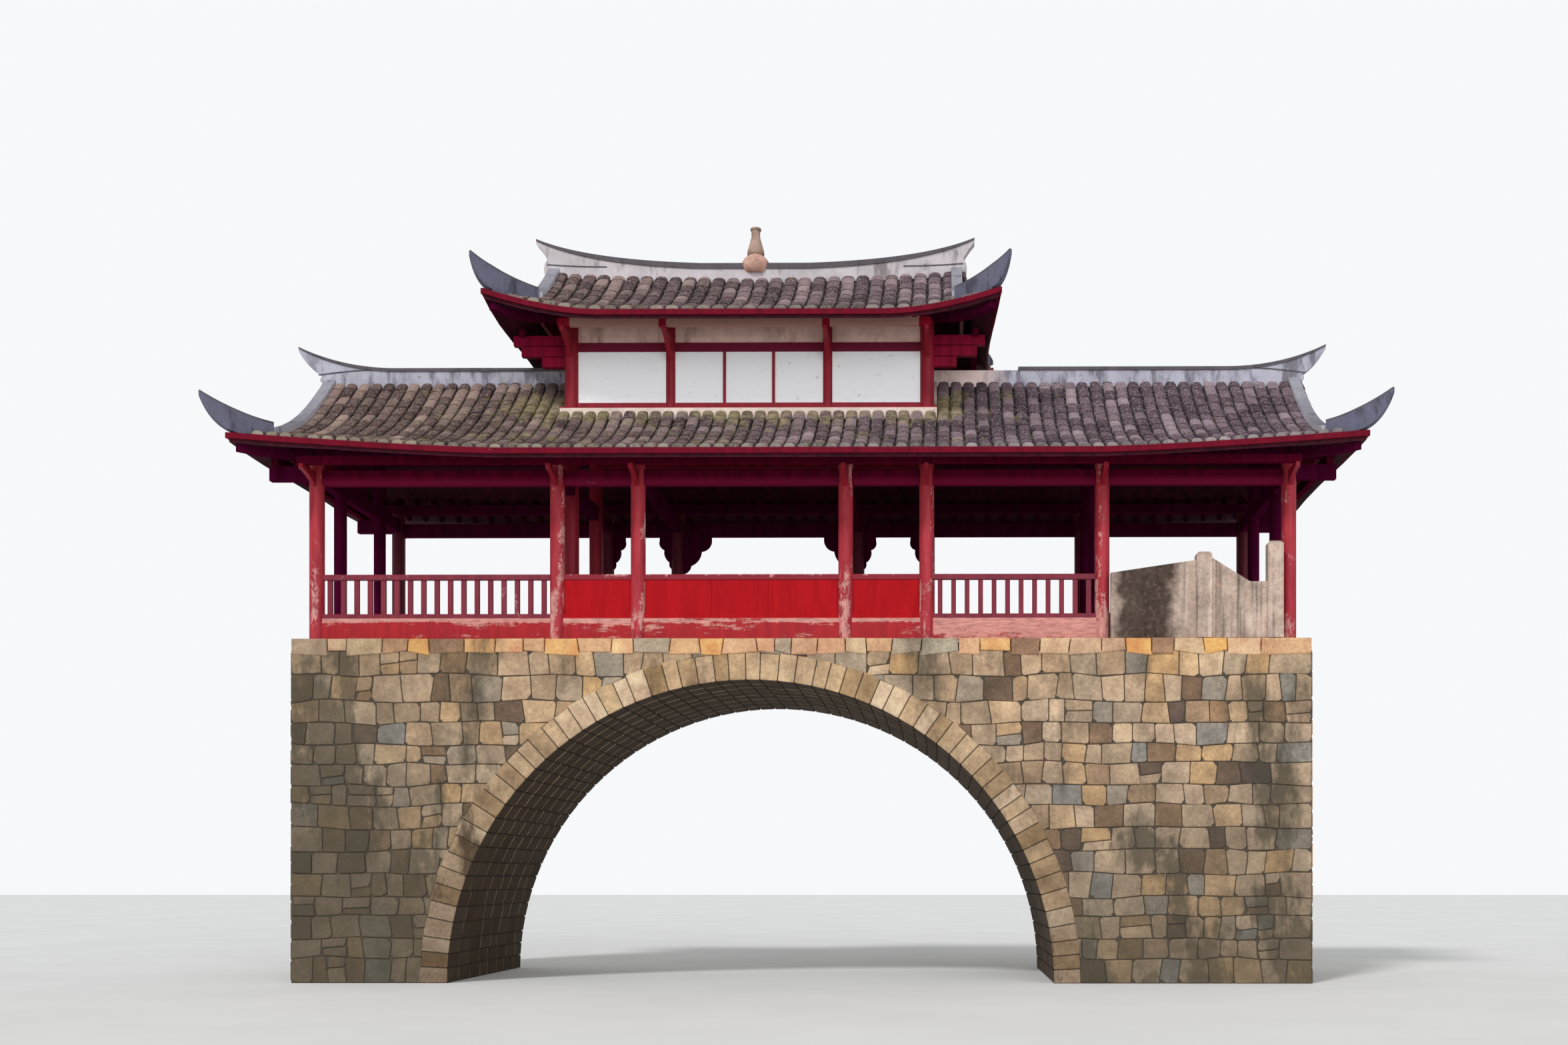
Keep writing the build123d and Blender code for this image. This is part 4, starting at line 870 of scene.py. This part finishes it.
@dataclass
class Masonry(Assembly):
    """The stone arch, the rubble walls and the course of squared stones on them."""

    DRESS = {
        "mortar": "arch_barrel left_abutment right_abutment",
        "paving_stone": "deck_paving",
        "slab_stone": "slab_posts slab_parapets",
    }
    arch_x: float = -0.78
    arch_radius: float = 4.74
    ring_depth: float = 0.38
    ring_wave: float = 0.045
    ring_edge: float = 0.009
    courses: int = 61
    course_shares: Pair = (0.84, 1.16)
    ring_lengths: Pair = (0.42, 0.66)
    stones_across: int = 8
    wall_y: float = 2.05
    wall_x: float = 7.93
    coping_z: float = 5.17
    deck_z: float = 5.37
    coping_y: float = 2.10
    coping_depth: float = 0.50
    coping_lengths: Pair = (0.26, 0.58)
    coping_rest: float = 0.3
    coping_sag: float = 0.09
    coping_unevenness: float = 0.007
    coping_setback: Pair = (0.008, 0.022)
    stone_widths: Pair = (0.23, 0.50)
    course_heights: Pair = (0.27, 0.42)
    bed_wave: float = 0.042
    knot_spacing: float = 0.47
    lean: float = 0.16
    corner_cut: Pair = (0.012, 0.045)
    cut_share: float = 0.55
    split_share: float = 0.10
    split_at: Pair = (0.38, 0.62)
    split_tilt: float = 0.04
    arch_overlap: float = 0.32
    sheet_size: float = 0.55
    smallest_area: float = 0.006
    smallest_edge: float = 0.012
    joint: float = 0.013
    cross_joint: float = 0.7
    closing: float = 0.01
    proud: float = 0.024
    lift_shares: Pair = (0.55, 1.0)
    bevel_share: float = 0.75
    bevel_most: float = 0.02
    chance: random.Random = field(default_factory=lambda: random.Random(41))

    def build(self) -> None:
        """Build and dress all the stonework."""
        self.dress()
        self.lay_ring()
        self.lay_walls()
        self.lay_coping()

    def lay_ring(self) -> None:
        """Lay the cut stones of the arch, each course in several lengths across the bridge."""
        pile = Pile("ring_stones", self.finishes["ring_stone"], "arch_stone")
        shares = [self.chance.uniform(*self.course_shares) for _ in range(self.courses)]
        turned = 0.0
        half = self.wall_y + self.proud
        inner = self.arch_radius - self.proud
        for share in shares:
            angle = share / sum(shares) * math.pi
            turn = turned + angle / 2
            turned += angle
            outward = Vector((-math.cos(turn), 0, math.sin(turn)))
            lengths = [self.chance.uniform(*self.ring_lengths) for _ in range(self.stones_across)]
            start = -half
            for length in lengths:
                span = length / sum(lengths) * 2 * half
                height = self.ring_depth + self.proud + self.chance.uniform(0, 1) * self.ring_wave
                width = (inner + height) * angle - self.joint
                taper = (inner * angle - self.joint) / width
                middle = Vector((self.arch_x, start + span / 2, 0)) + outward * (inner + height / 2)
                size = (width, span - self.joint * self.cross_joint, height)
                shape = soft_block(size, self.ring_edge, taper)
                pile.add_once(shape, basis(middle, Side.REAR.outward, outward), self.chance.random())
                start += span
        pile.finish()

    def lay_walls(self) -> None:
        """Lay the rubble on the long faces and the ends."""
        pile = Pile("rubble_stones", self.finishes["rubble_stone"], "rubble_stone")
        for side in Side:
            place = side.turn @ Matrix.Translation((0, -self.wall_y, 0)) @ UPRIGHT
            self.cover(Wall(pile, place, self.wall_x, -side.value * self.arch_x))
        for end in End:
            turn = Matrix.Rotation(math.radians(90 * end.value), 4, "Z")
            self.cover(Wall(pile, turn @ Matrix.Translation((0, -self.wall_x, 0)) @ UPRIGHT, self.wall_y))
        pile.finish()

    def beds(self, half: float) -> list[list[float]]:
        """Wavy beds between the courses, each a list of heights at even knots along the face.

        Args:
            half: half the face's length.

        Returns:
            The beds, the lowest first.
        """
        heights = []
        while sum(heights) < self.coping_z:
            heights.append(self.chance.uniform(*self.course_heights))
        scale = self.coping_z / sum(heights)
        knots = int(2 * half / self.knot_spacing) + 3
        levels = [0.0]
        for height in heights:
            levels.append(levels[-1] + height * scale)
        wave = self.bed_wave
        beds = [[level + self.chance.uniform(-1, 1) * wave for _ in range(knots)] for level in levels]
        beds[0] = [0.0] * knots
        beds[-1] = [self.coping_z] * knots
        return beds

    def bed_point(self, bed: list[float], half: float, x: float) -> Vector:
        """The place on a bed at one point along the face.

        Args:
            bed: the bed's heights.
            half: half the face's length.
            x: the point along the face.

        Returns:
            The place.
        """
        step = (x + half) / self.knot_spacing
        index = min(int(step), len(bed) - 2)
        share = step - index
        return Vector((x, bed[index] * (1 - share) + bed[index + 1] * share, 0))

    def stones(self, half: float, widths: Pair, rest: float) -> Iterator[tuple[float, float, Pair]]:
        """Share the length of a course out to its stones, the last one upright at the face's end.

        Args:
            half: half the face's length.
            widths: the smallest and the largest width.
            rest: the width under which what is left of the face joins the stone before it.

        Yields:
            Each stone's left and right place and how far its two sides lean, as angles.
        """
        left, left_lean = -half, 0.0
        while left < half - self.closing:
            right = left + self.chance.uniform(*widths)
            right_lean = self.chance.uniform(-self.lean, self.lean)
            if half - right < rest:
                right, right_lean = half, 0.0
            yield left, right, (left_lean, right_lean)
            left, left_lean = right, right_lean

    def cover(self, wall: Wall) -> None:
        """Cover one wall face with roughly squared stones.

        Args:
            wall: the face.
        """
        beds = self.beds(wall.half)
        for low, high in zip(beds, beds[1:]):
            for left, right, leans in self.stones(wall.half, self.stone_widths, self.stone_widths[0]):
                foot = [self.bed_point(low, wall.half, x) for x in (left, right)]
                head = [self.bed_point(high, wall.half, x) for x in (right, left)]
                if self.chance.random() < self.split_share:
                    share = self.chance.uniform(*self.split_at)
                    west = foot[0].lerp(head[1], share - self.split_tilt)
                    east = foot[1].lerp(head[0], share + self.split_tilt)
                    self.lay_stone(wall, [*foot, east, west], leans)
                    self.lay_stone(wall, [west, east, *head], leans)
                else:
                    self.lay_stone(wall, [*foot, *head], leans)

    @staticmethod
    def side_cut(x: float, y: float, lean: float, inward: int) -> tuple[Vector, Vector]:
        """The cut along a leaning side: a point on it and the direction inwards, 1 for +X."""
        return Vector((x, y, 0)), Vector((math.cos(lean), math.sin(lean), 0)) * inward

    def lay_stone(self, wall: Wall, corners: list[Vector], leans: Pair) -> None:
        """Work out the cuts of one stone and cut it.

        Args:
            wall: the face.
            corners: the stone's corners, from the lower left one round to the upper left one.
            leans: how far the left and the right side lean, as angles.
        """
        middle = sum(corners, Vector()) / 4
        cuts = [self.side_cut(corners[0].x, middle.y, leans[0], 1),
                self.side_cut(corners[1].x, middle.y, leans[1], -1)]
        for first, second in ((corners[0], corners[1]), (corners[2], corners[3])):
            along = (second - first).normalized()
            cuts.append((first, Vector((-along.y, along.x, 0))))
        for corner in corners:
            if self.chance.random() < self.cut_share:
                inward = (middle - corner).normalized()
                cuts.append((corner + inward * self.chance.uniform(*self.corner_cut), inward))
        if wall.arch is not None:
            ring = self.arch_radius + self.ring_depth
            away = middle - Vector((wall.arch, 0, 0))
            if away.length < ring - self.arch_overlap:
                return
            outward = away.normalized()
            cuts.append((Vector((wall.arch, 0, 0)) + outward * ring, outward))
        self.cut_stone(wall, middle, cuts, self.proud * self.chance.uniform(*self.lift_shares))

    def cut_stone(self, wall: Wall, seed: Vector, cuts: list[tuple[Vector, Vector]], lift: float) -> None:
        """Cut one stone from a flat sheet, raise its face and round its edges.

        Args:
            wall: the face.
            seed: the stone's middle.
            cuts: for each side a point and the direction inwards.
            lift: how far its face stands before the sheet.
        """
        bm = bmesh.new()
        bmesh.ops.create_grid(bm, x_segments=1, y_segments=1, size=self.sheet_size,
                              matrix=Matrix.Translation(seed))
        for point, inward in cuts:
            bmesh.ops.bisect_plane(bm, geom=[*bm.verts, *bm.edges, *bm.faces], clear_inner=True,
                                   plane_co=point + inward * self.joint / 2, plane_no=inward)
        large = sum(face.calc_area() for face in bm.faces) >= self.smallest_area
        if large:
            bmesh.ops.dissolve_degenerate(bm, dist=self.smallest_edge, edges=bm.edges)
        if not large or not bm.faces:
            bm.free()
            return
        upper = raise_faces(bm, lift)
        bmesh.ops.recalc_face_normals(bm, faces=bm.faces)
        rim = [e for e in bm.edges if e.verts[0] in upper and e.verts[1] in upper]
        offset = min(lift * self.bevel_share, self.bevel_most)
        bmesh.ops.bevel(bm, geom=rim, offset=offset, affect="EDGES", segments=2, profile=0.5, material=-1)
        wall.pile.add_once(flat_mesh(bm), wall.place, self.chance.random())

    def lay_coping(self) -> None:
        """Lay the uneven stones that carry the sills."""
        pile = Pile("coping_stones", self.finishes["coping_stone"], "coping_stone")
        middle_z = (self.coping_z + self.deck_z) / 2
        for side in Side:
            back = Matrix.Translation((0, self.coping_depth - self.coping_y, 0))
            wall = Wall(pile, side.turn @ back @ UPRIGHT, self.wall_x)
            for left, right, leans in self.stones(wall.half, self.coping_lengths, self.coping_rest):
                foot = [self.coping_z - self.chance.uniform(0, self.coping_sag) for _ in range(2)]
                head = self.deck_z - self.chance.uniform(0, self.coping_unevenness)
                inward = Vector((foot[0] - foot[1], right - left, 0)).normalized()
                cuts = [self.side_cut(left, middle_z, leans[0], 1),
                        self.side_cut(right, middle_z, leans[1], -1),
                        (Vector((left, foot[0], 0)), inward),
                        (Vector((left, head, 0)), Vector((0, -1, 0)))]
                depth = self.coping_depth - self.chance.uniform(*self.coping_setback)
                self.cut_stone(wall, Vector(((left + right) / 2, middle_z, 0)), cuts, depth)
        pile.finish("front_coping", "rear_coping")


@dataclass
class Slope:
    """One slope of a roof, in metres: its CAD node, the way down it and where its rows lie.

    The rows lie from low to high along the eave and run down from start over reach. Between the two
    lifted places their upper ends rise against the tower.
    """

    node: str
    down: Vector
    low: float
    high: float
    start: float = 0.0
    reach: float = 3.0
    lifted: Pair = (0.0, 0.0)

    @property
    def side(self) -> Vector:
        """The direction along the eave, which is +X or +Y."""
        return Vector((abs(self.down.y), abs(self.down.x), 0))

    def lean(self, low: Vector, high: Vector) -> tuple[Vector, Vector]:
        """Two directions at one step of a row.

        Args:
            low: its lower end.
            high: its upper end.

        Returns:
            Uphill, and out of the roof.
        """
        uphill = (high - low).normalized()
        up = self.side.cross(uphill)
        return uphill, (up if up.z > 0 else -up).normalized()


@dataclass
class TiledRoof(Assembly):
    """The rows of cover tiles of one roof, its eave ends and the mortar under them."""

    name: str
    slopes: list[Slope]
    pitch: float
    exposure: float = 0.29
    overlap: float = 0.05
    tile_width: float = 0.186
    tile_rise: float = 0.054
    tile_taper: float = 0.92
    step: float = 0.008
    seat: Pair = (0.004, 0.011)
    wander: float = 0.006
    skew: float = 0.03
    row_tone: float = 0.16
    tone_curve: Pair = (2, 2.2)
    end_width: float = 0.165
    end_rise: float = 0.062
    end_length: float = 0.06
    end_taper: float = 0.97
    plug_at: Pair = (0.022, 0.004)
    bed_at: Pair = (0.034, -0.012)
    bed_width: float = 1.01
    bed_depth: float = 0.06
    bed_height: float = 0.04
    head_lift: float = 0.07
    second_lift: float = 0.4
    first_cut: float = 0.6
    trace_step: float = 0.02
    shortest: float = 0.06
    above_all: float = 20.0
    chance: random.Random = field(default_factory=lambda: random.Random(7))

    def build(self) -> None:
        """Lay the tiles of every slope."""
        self.covers = Pile(f"{self.name}_cover_tiles", self.finishes["cover_tile"], "roof_tile")
        self.ends = Pile(f"{self.name}_eave_ends", self.finishes["eave_tile"], "roof_tile")
        length = self.exposure + self.overlap
        self.cover = half_pipe(self.tile_width, self.tile_rise, length, self.tile_taper)
        self.plug = half_pipe(self.end_width, self.end_rise, self.end_length, self.end_taper)
        self.bed = soft_block((self.pitch * self.bed_width, self.bed_depth, self.bed_height))
        for slope in self.slopes:
            tree = surface(slope.node)
            rows = int((slope.high - slope.low) / self.pitch)
            start = (slope.low + slope.high) / 2 - (rows - 1) / 2 * self.pitch
            for row in range(rows):
                points = self.trace(slope, tree, start + row * self.pitch)
                if len(points) > 1:
                    self.lay_row(slope, points)
                    self.close_eave(slope, points)
        self.covers.finish()
        self.ends.finish()
        for shape in (self.cover, self.plug, self.bed):
            bpy.data.meshes.remove(shape)

    def lay_row(self, slope: Slope, points: list[Vector]) -> None:
        """Lay one row's cover tiles, each lapping over the one below it.

        Args:
            slope: the slope.
            points: the row's points on the roof, the lowest first.
        """
        own = self.chance.uniform(-self.row_tone, self.row_tone)
        for low, high in zip(points, points[1:]):
            uphill, up = slope.lean(low, high)
            length = (high - low).length
            stretch = Matrix.Diagonal((1, (length + self.overlap) / (self.exposure + self.overlap), 1, 1))
            middle = (low + high) / 2 + uphill * self.overlap / 2
            middle += slope.side * self.chance.uniform(-self.wander, self.wander)
            tilted = uphill - up * (self.step / self.exposure)
            tilted += slope.side * self.chance.uniform(-self.skew, self.skew)
            place = basis(middle + up * self.chance.uniform(*self.seat), tilted, up)
            tone = min(1, max(0, self.chance.betavariate(*self.tone_curve) + own))
            self.covers.add(self.cover, place @ stretch, tone)

    def close_eave(self, slope: Slope, points: list[Vector]) -> None:
        """Close one row at the eave with a pale end and its bed of mortar.

        Args:
            slope: the slope.
            points: the row's points on the roof, the lowest first.
        """
        low = points[0]
        uphill, up = slope.lean(low, points[1])
        for shape, inward, rise, most in ((self.plug, *self.plug_at, 1), (self.bed, *self.bed_at, 0.5)):
            place = basis(low + uphill * inward + up * rise, uphill, up)
            self.ends.add(shape, place, self.chance.uniform(0, most))

    def trace(self, slope: Slope, tree: BVHTree, level: float) -> list[Vector]:
        """Follow the CAD surface uphill in steps of one exposure.

        Args:
            slope: the slope.
            tree: the slope's surface.
            level: the row's place along the eave.

        Returns:
            Points on the surface, the lowest first.
        """
        fine = []
        for index in range(int(slope.reach / self.trace_step)):
            out = slope.start + slope.reach - index * self.trace_step
            at = slope.down * out + slope.side * level + UP * self.above_all
            hit, normal, _, _ = tree.ray_cast(at, -UP)
            if hit is not None and normal.z > FACES_UP:
                fine.append(hit)
        if not fine:
            return []
        points = [fine[0]]
        travelled = self.chance.uniform(0, self.first_cut) * self.exposure
        for low, high in zip(fine, fine[1:]):
            travelled += (high - low).length
            if travelled >= self.exposure:
                points.append(high)
                travelled = 0.0
        if travelled > self.shortest:
            points.append(fine[-1])
        if slope.lifted[0] < level < slope.lifted[1] and len(points) > 2:
            points[-1].z += self.head_lift
            points[-2].z += self.head_lift * self.second_lift
        return points


@dataclass
class Carpentry(Assembly):
    """The painted timber: posts, beams, rails and the boards between them."""

    DRESS = {
        "post_paint": "front_posts rear_posts",
        # the timber under the roof takes the red that is darkened as painted shade
        "dark_red_paint": "inner_posts rear_tie_beam cross_beams purlins rear_brackets corner_beams",
        "purlin_paint": "eave_purlins",
        "beam_paint": "front_tie_beam",
        "arm_paint": "tower_beams",
        "red_paint": "front_boarding rear_boarding",
        "frame_paint": "corbels tower_posts tower_studs gables",
        "tower_rail_paint": "tower_rails",
        "rail_paint": "front_balustrades rear_balustrades",
        "sill_paint": "sills",
        "fascia_paint": "long_fascia end_fascia",
    }
    posts_x: tuple = (-7.63, -3.84, -2.57, 0.69, 1.96, 4.71, 7.63)
    post_half: float = 0.13
    rafter_pitch: float = 0.30
    rafter_width: float = 0.07
    rafter_height: float = 0.065
    rafter_drop: float = 0.032
    rafter_edge: float = 0.004
    board_width: float = 1.08
    board_depth: float = 0.014
    board_gap: float = 0.004
    board_edge: float = 0.002
    board_shares: Pair = (0.8, 1.2)
    board_proud: Pair = (0.001, 0.005)
    board_core: float = 0.045
    board_y: float = 1.8
    board_foot: float = 5.712
    board_head: float = 6.318
    chance: random.Random = field(default_factory=lambda: random.Random(19))

    def build(self) -> None:
        """Dress the timber and add its boards and rafters."""
        self.dress()
        for side in Side:
            self.board_parapets(side)
        self.lay_rafters("lower", reach=7.9, centre=0.0, inner=1.72, outer=2.28)
        self.lay_rafters("upper", reach=3.3, centre=TOWER_X, inner=0.95, outer=1.52)

    def board_parapets(self, side: Side) -> None:
        """Face the boarded bays with thin boards of uneven width, outside and inside.

        Args:
            side: the long side of the bridge.
        """
        pile = Pile(f"{side.label}_facing_boards", self.finishes["red_paint"], "red_paint")
        for first, last in zip(self.posts_x[1:4], self.posts_x[2:5]):
            start, stop = first + self.post_half, last - self.post_half
            count = max(1, round((stop - start) / self.board_width))
            for face in (-1, 1):
                widths = [self.chance.uniform(*self.board_shares) for _ in range(count)]
                scale = (stop - start) / sum(widths)
                x = start
                for width in widths:
                    wide = width * scale
                    out = self.board_core / 2 + self.chance.uniform(*self.board_proud)
                    y = side.value * self.board_y + face * out
                    middle = Vector((x + wide / 2, y, (self.board_foot + self.board_head) / 2))
                    size = (wide - self.board_gap, self.board_depth, self.board_head - self.board_foot)
                    board = soft_block(size, self.board_edge)
                    pile.add_once(board, Matrix.Translation(middle), self.chance.random())
                    x += wide
        pile.finish()

    def lay_rafters(self, name: str, reach: float, centre: float, inner: float, outer: float) -> None:
        """Lay rafters under the eaves, against the roof's underside.

        Args:
            name: the roof's name.
            reach: how far the rafters go from the roof's middle along X.
            centre: the roof's middle.
            inner: where they start, from the middle across the bridge.
            outer: where they end.
        """
        # the rafters' near black finish is painted shade under the eaves
        pile = Pile(f"{name}_rafters", self.finishes["soffit_boards"], "dark_red_paint")
        count = int(2 * reach / self.rafter_pitch)
        for side in Side:
            tree = surface(f"{name}_roof_{side.label}")
            for index in range(count + 1):
                x = centre - reach + index * 2 * reach / count
                hits = [tree.ray_cast(Vector((x, side.value * y, 0)), UP)[0] for y in (inner, outer)]
                if None in hits:
                    continue
                along = hits[1] - hits[0]
                place = basis((hits[0] + hits[1]) / 2 - UP * self.rafter_drop, along, UP)
                shape = soft_block((self.rafter_width, along.length, self.rafter_height), self.rafter_edge)
                pile.add_once(shape, place, self.chance.random())
        pile.finish()


@dataclass
class Ridges(Assembly):
    """The plastered ridges with their shadow lines, their copings, the kerb and the panels of the tower."""

    DRESS = {
        "low_ridge_plaster": "lower_ridge",
        "slope_ridge_plaster": "slope_ridges",
        "ridge_plaster": "upper_ridge",
        "hip_plaster": "hip_ridges",
        "dark_coping": "ridge_copings",
        "kerb_plaster": "tower_kerb",
        "white_panel": "tower_panels",
        "cream_panel": "tower_frieze",
        "terracotta": "finial",
        # the roof surfaces, seen between and under the cover tiles, take the near black channel tile as
        # painted shade
        "channel_tile": "lower_roof_front lower_roof_rear lower_roof_ends upper_roof_front upper_roof_rear"
                        " upper_roof_ends",
    }
    ridge_half: float = 0.10
    groove_width: float = 0.012
    groove_height: float = 0.022
    groove_edge: float = 0.003
    groove_lap: float = 0.01
    groove_proud: float = 0.002
    low_line: tuple = ((7.35, 10.205), (7.7, 10.185), (8.0, 10.155), (8.3, 10.118))
    high_line: tuple = ((2.50, 11.925), (2.85, 11.93), (3.2, 11.945), (3.5, 11.965))
    coping_size: Triple = (1.40, 0.24, 0.055)
    coping_at: Triple = (-4.66, 0.0, 10.198)
    coping_edge: float = 0.006
    hip_line: float = 0.028

    def build(self) -> None:
        """Dress the ridges and the tower."""
        self.dress()
        self.draw_grooves()
        self.lay_trim()

    def lay_trim(self) -> None:
        """Carry the dark coping on to the tower on the left, and along the upper edge of every hip plate."""
        pile = Pile("coping_trim", self.finishes["dark_coping"], "dark_coping")
        coping = soft_block(self.coping_size, self.coping_edge)
        pile.add_once(coping, Matrix.Translation(self.coping_at), MID_TONE)
        bm = bmesh.new()
        bm.from_mesh(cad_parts["hip_ridges"].data)
        bmesh.ops.remove_doubles(bm, verts=bm.verts, dist=1e-4)
        bmesh.ops.delete(bm, geom=[face for face in bm.faces if face.normal.z < FACES_UP], context="FACES")
        raise_faces(bm, self.hip_line)
        fix_order(bm)
        pile.add_once(flat_mesh(bm), Matrix.Identity(4), MID_TONE)
        pile.finish()

    def draw_grooves(self) -> None:
        """Lay the dark shadow line between the two tiers of every flying end."""
        pile = Pile("ridge_grooves", self.finishes["dark_coping"], "dark_coping")
        for centre, points in ((0.0, self.low_line), (TOWER_X, self.high_line)):
            for end in End:
                for side in Side:
                    y = side.value * (self.ridge_half + self.groove_proud)
                    line = [Vector((centre + end.value * x, y, z)) for x, z in points]
                    for low, high in zip(line, line[1:]):
                        size = (self.groove_width, (high - low).length + self.groove_lap, self.groove_height)
                        strip = soft_block(size, self.groove_edge)
                        pile.add_once(strip, basis((low + high) / 2, high - low, UP), MID_TONE)
        pile.finish()


@dataclass
class Studio:
    """The floor, the light and the camera, with each lamp's energy, size and turn in degrees."""

    focal_px: float = 2274.8773
    principal_px: Pair = (1393.3411, 1317.1841)
    image_px: tuple[int, int] = (2352, 1568)
    eye: Triple = (2.1719, -25.5901, 1.6391)
    turn: float = 0.0074
    sensor_mm: float = 36.0
    sky: tuple = ((0.97, 0.985, 1, 1), 0.54)
    backdrop: tuple = ((0.93, 0.94, 0.96, 1), 1.0)
    key: tuple = (1.55, 9, (46, 0, -30))
    fill: tuple = (0.95, 50, (76, 0, 22))
    floor_half: float = 120

    def build(self) -> None:
        """Set up the camera, the lights and the floor."""
        self.make_camera()
        self.make_light()
        self.make_floor()

    def make_camera(self) -> None:
        """Place a level camera whose shift gives the picture's framing."""
        data = bpy.data.cameras.new("camera")
        camera = placed("camera", data)
        width, height = self.image_px
        data.sensor_fit = "HORIZONTAL"
        data.sensor_width = self.sensor_mm
        data.lens = self.focal_px * self.sensor_mm / width
        data.shift_x = (width / 2 - self.principal_px[0]) / width
        data.shift_y = (self.principal_px[1] - height / 2) / width
        camera.location = self.eye
        camera.rotation_euler = (math.radians(90), 0, self.turn)
        bpy.context.scene.camera = camera

    def make_light(self) -> None:
        """Light the part with a pale sky, a soft key from the front left and a weak fill."""
        world = bpy.data.worlds.new("studio")
        bpy.context.scene.world = world
        world.use_nodes = True
        tree = world.node_tree
        mix = tree.nodes.new("ShaderNodeMixShader")
        backs = (tree.nodes["Background"], tree.nodes.new("ShaderNodeBackground"))
        for index, (back, (colour, strength)) in enumerate(zip(backs, (self.sky, self.backdrop))):
            back.inputs["Color"].default_value = colour
            back.inputs["Strength"].default_value = strength
            tree.links.new(back.outputs["Background"], mix.inputs[index + 1])
        path = tree.nodes.new("ShaderNodeLightPath")
        tree.links.new(path.outputs["Is Camera Ray"], mix.inputs["Fac"])
        output = next(n for n in tree.nodes if n.type == "OUTPUT_WORLD")
        tree.links.new(mix.outputs["Shader"], output.inputs["Surface"])
        for name, (energy, angle, turn) in (("key", self.key), ("fill", self.fill)):
            data = bpy.data.lights.new(name, "SUN")
            data.energy = energy
            data.angle = math.radians(angle)
            placed(name, data).rotation_euler = tuple(math.radians(value) for value in turn)

    def make_floor(self) -> None:
        """Lay a plain pale floor under the part."""
        bm = bmesh.new()
        bmesh.ops.create_grid(bm, x_segments=1, y_segments=1, size=self.floor_half)
        made = mesh_of(bm, "floor")
        graph = Graph("floor_paint")
        tint = graph.ramp(graph.noise(0.4, 2), (0.3, (0.74, 0.74, 0.73)), (0.7, (0.78, 0.78, 0.77)))
        made.materials.append(graph.finish(tint, 0.9))
        floor = placed("floor", made)


def main() -> None:
    """Build every part of the scene in order."""
    bpy.context.scene.view_settings.view_transform = "Standard"
    Studio().build()
    finishes = mix_finishes()
    Masonry(finishes).build()
    Carpentry(finishes).build()
    Ridges(finishes).build()
    kerb = (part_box("tower_kerb")[0].x + KERB_INSET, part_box("tower_kerb")[1].x - KERB_INSET)
    lower = [Slope(f"lower_roof_{side.label}", side.outward, -8.55, 8.55, lifted=kerb) for side in Side]
    lower += [Slope("lower_roof_ends", end.outward, -2.6, 2.6, start=7.6, reach=1.5) for end in End]
    upper = [Slope(f"upper_roof_{side.label}", side.outward, -4.93, 3.05) for side in Side]
    upper += [Slope("upper_roof_ends", end.outward, -1.8, 1.8, start, reach=1.5)
              for end, start in zip(End, (3.9, 2.0))]
    TiledRoof(finishes, "lower", lower, pitch=0.212).build()
    TiledRoof(finishes, "upper", upper, pitch=0.242, tile_width=0.212, tile_rise=0.060, end_width=0.19,
              end_rise=0.066).build()


if __name__ == "__main__":
    main()
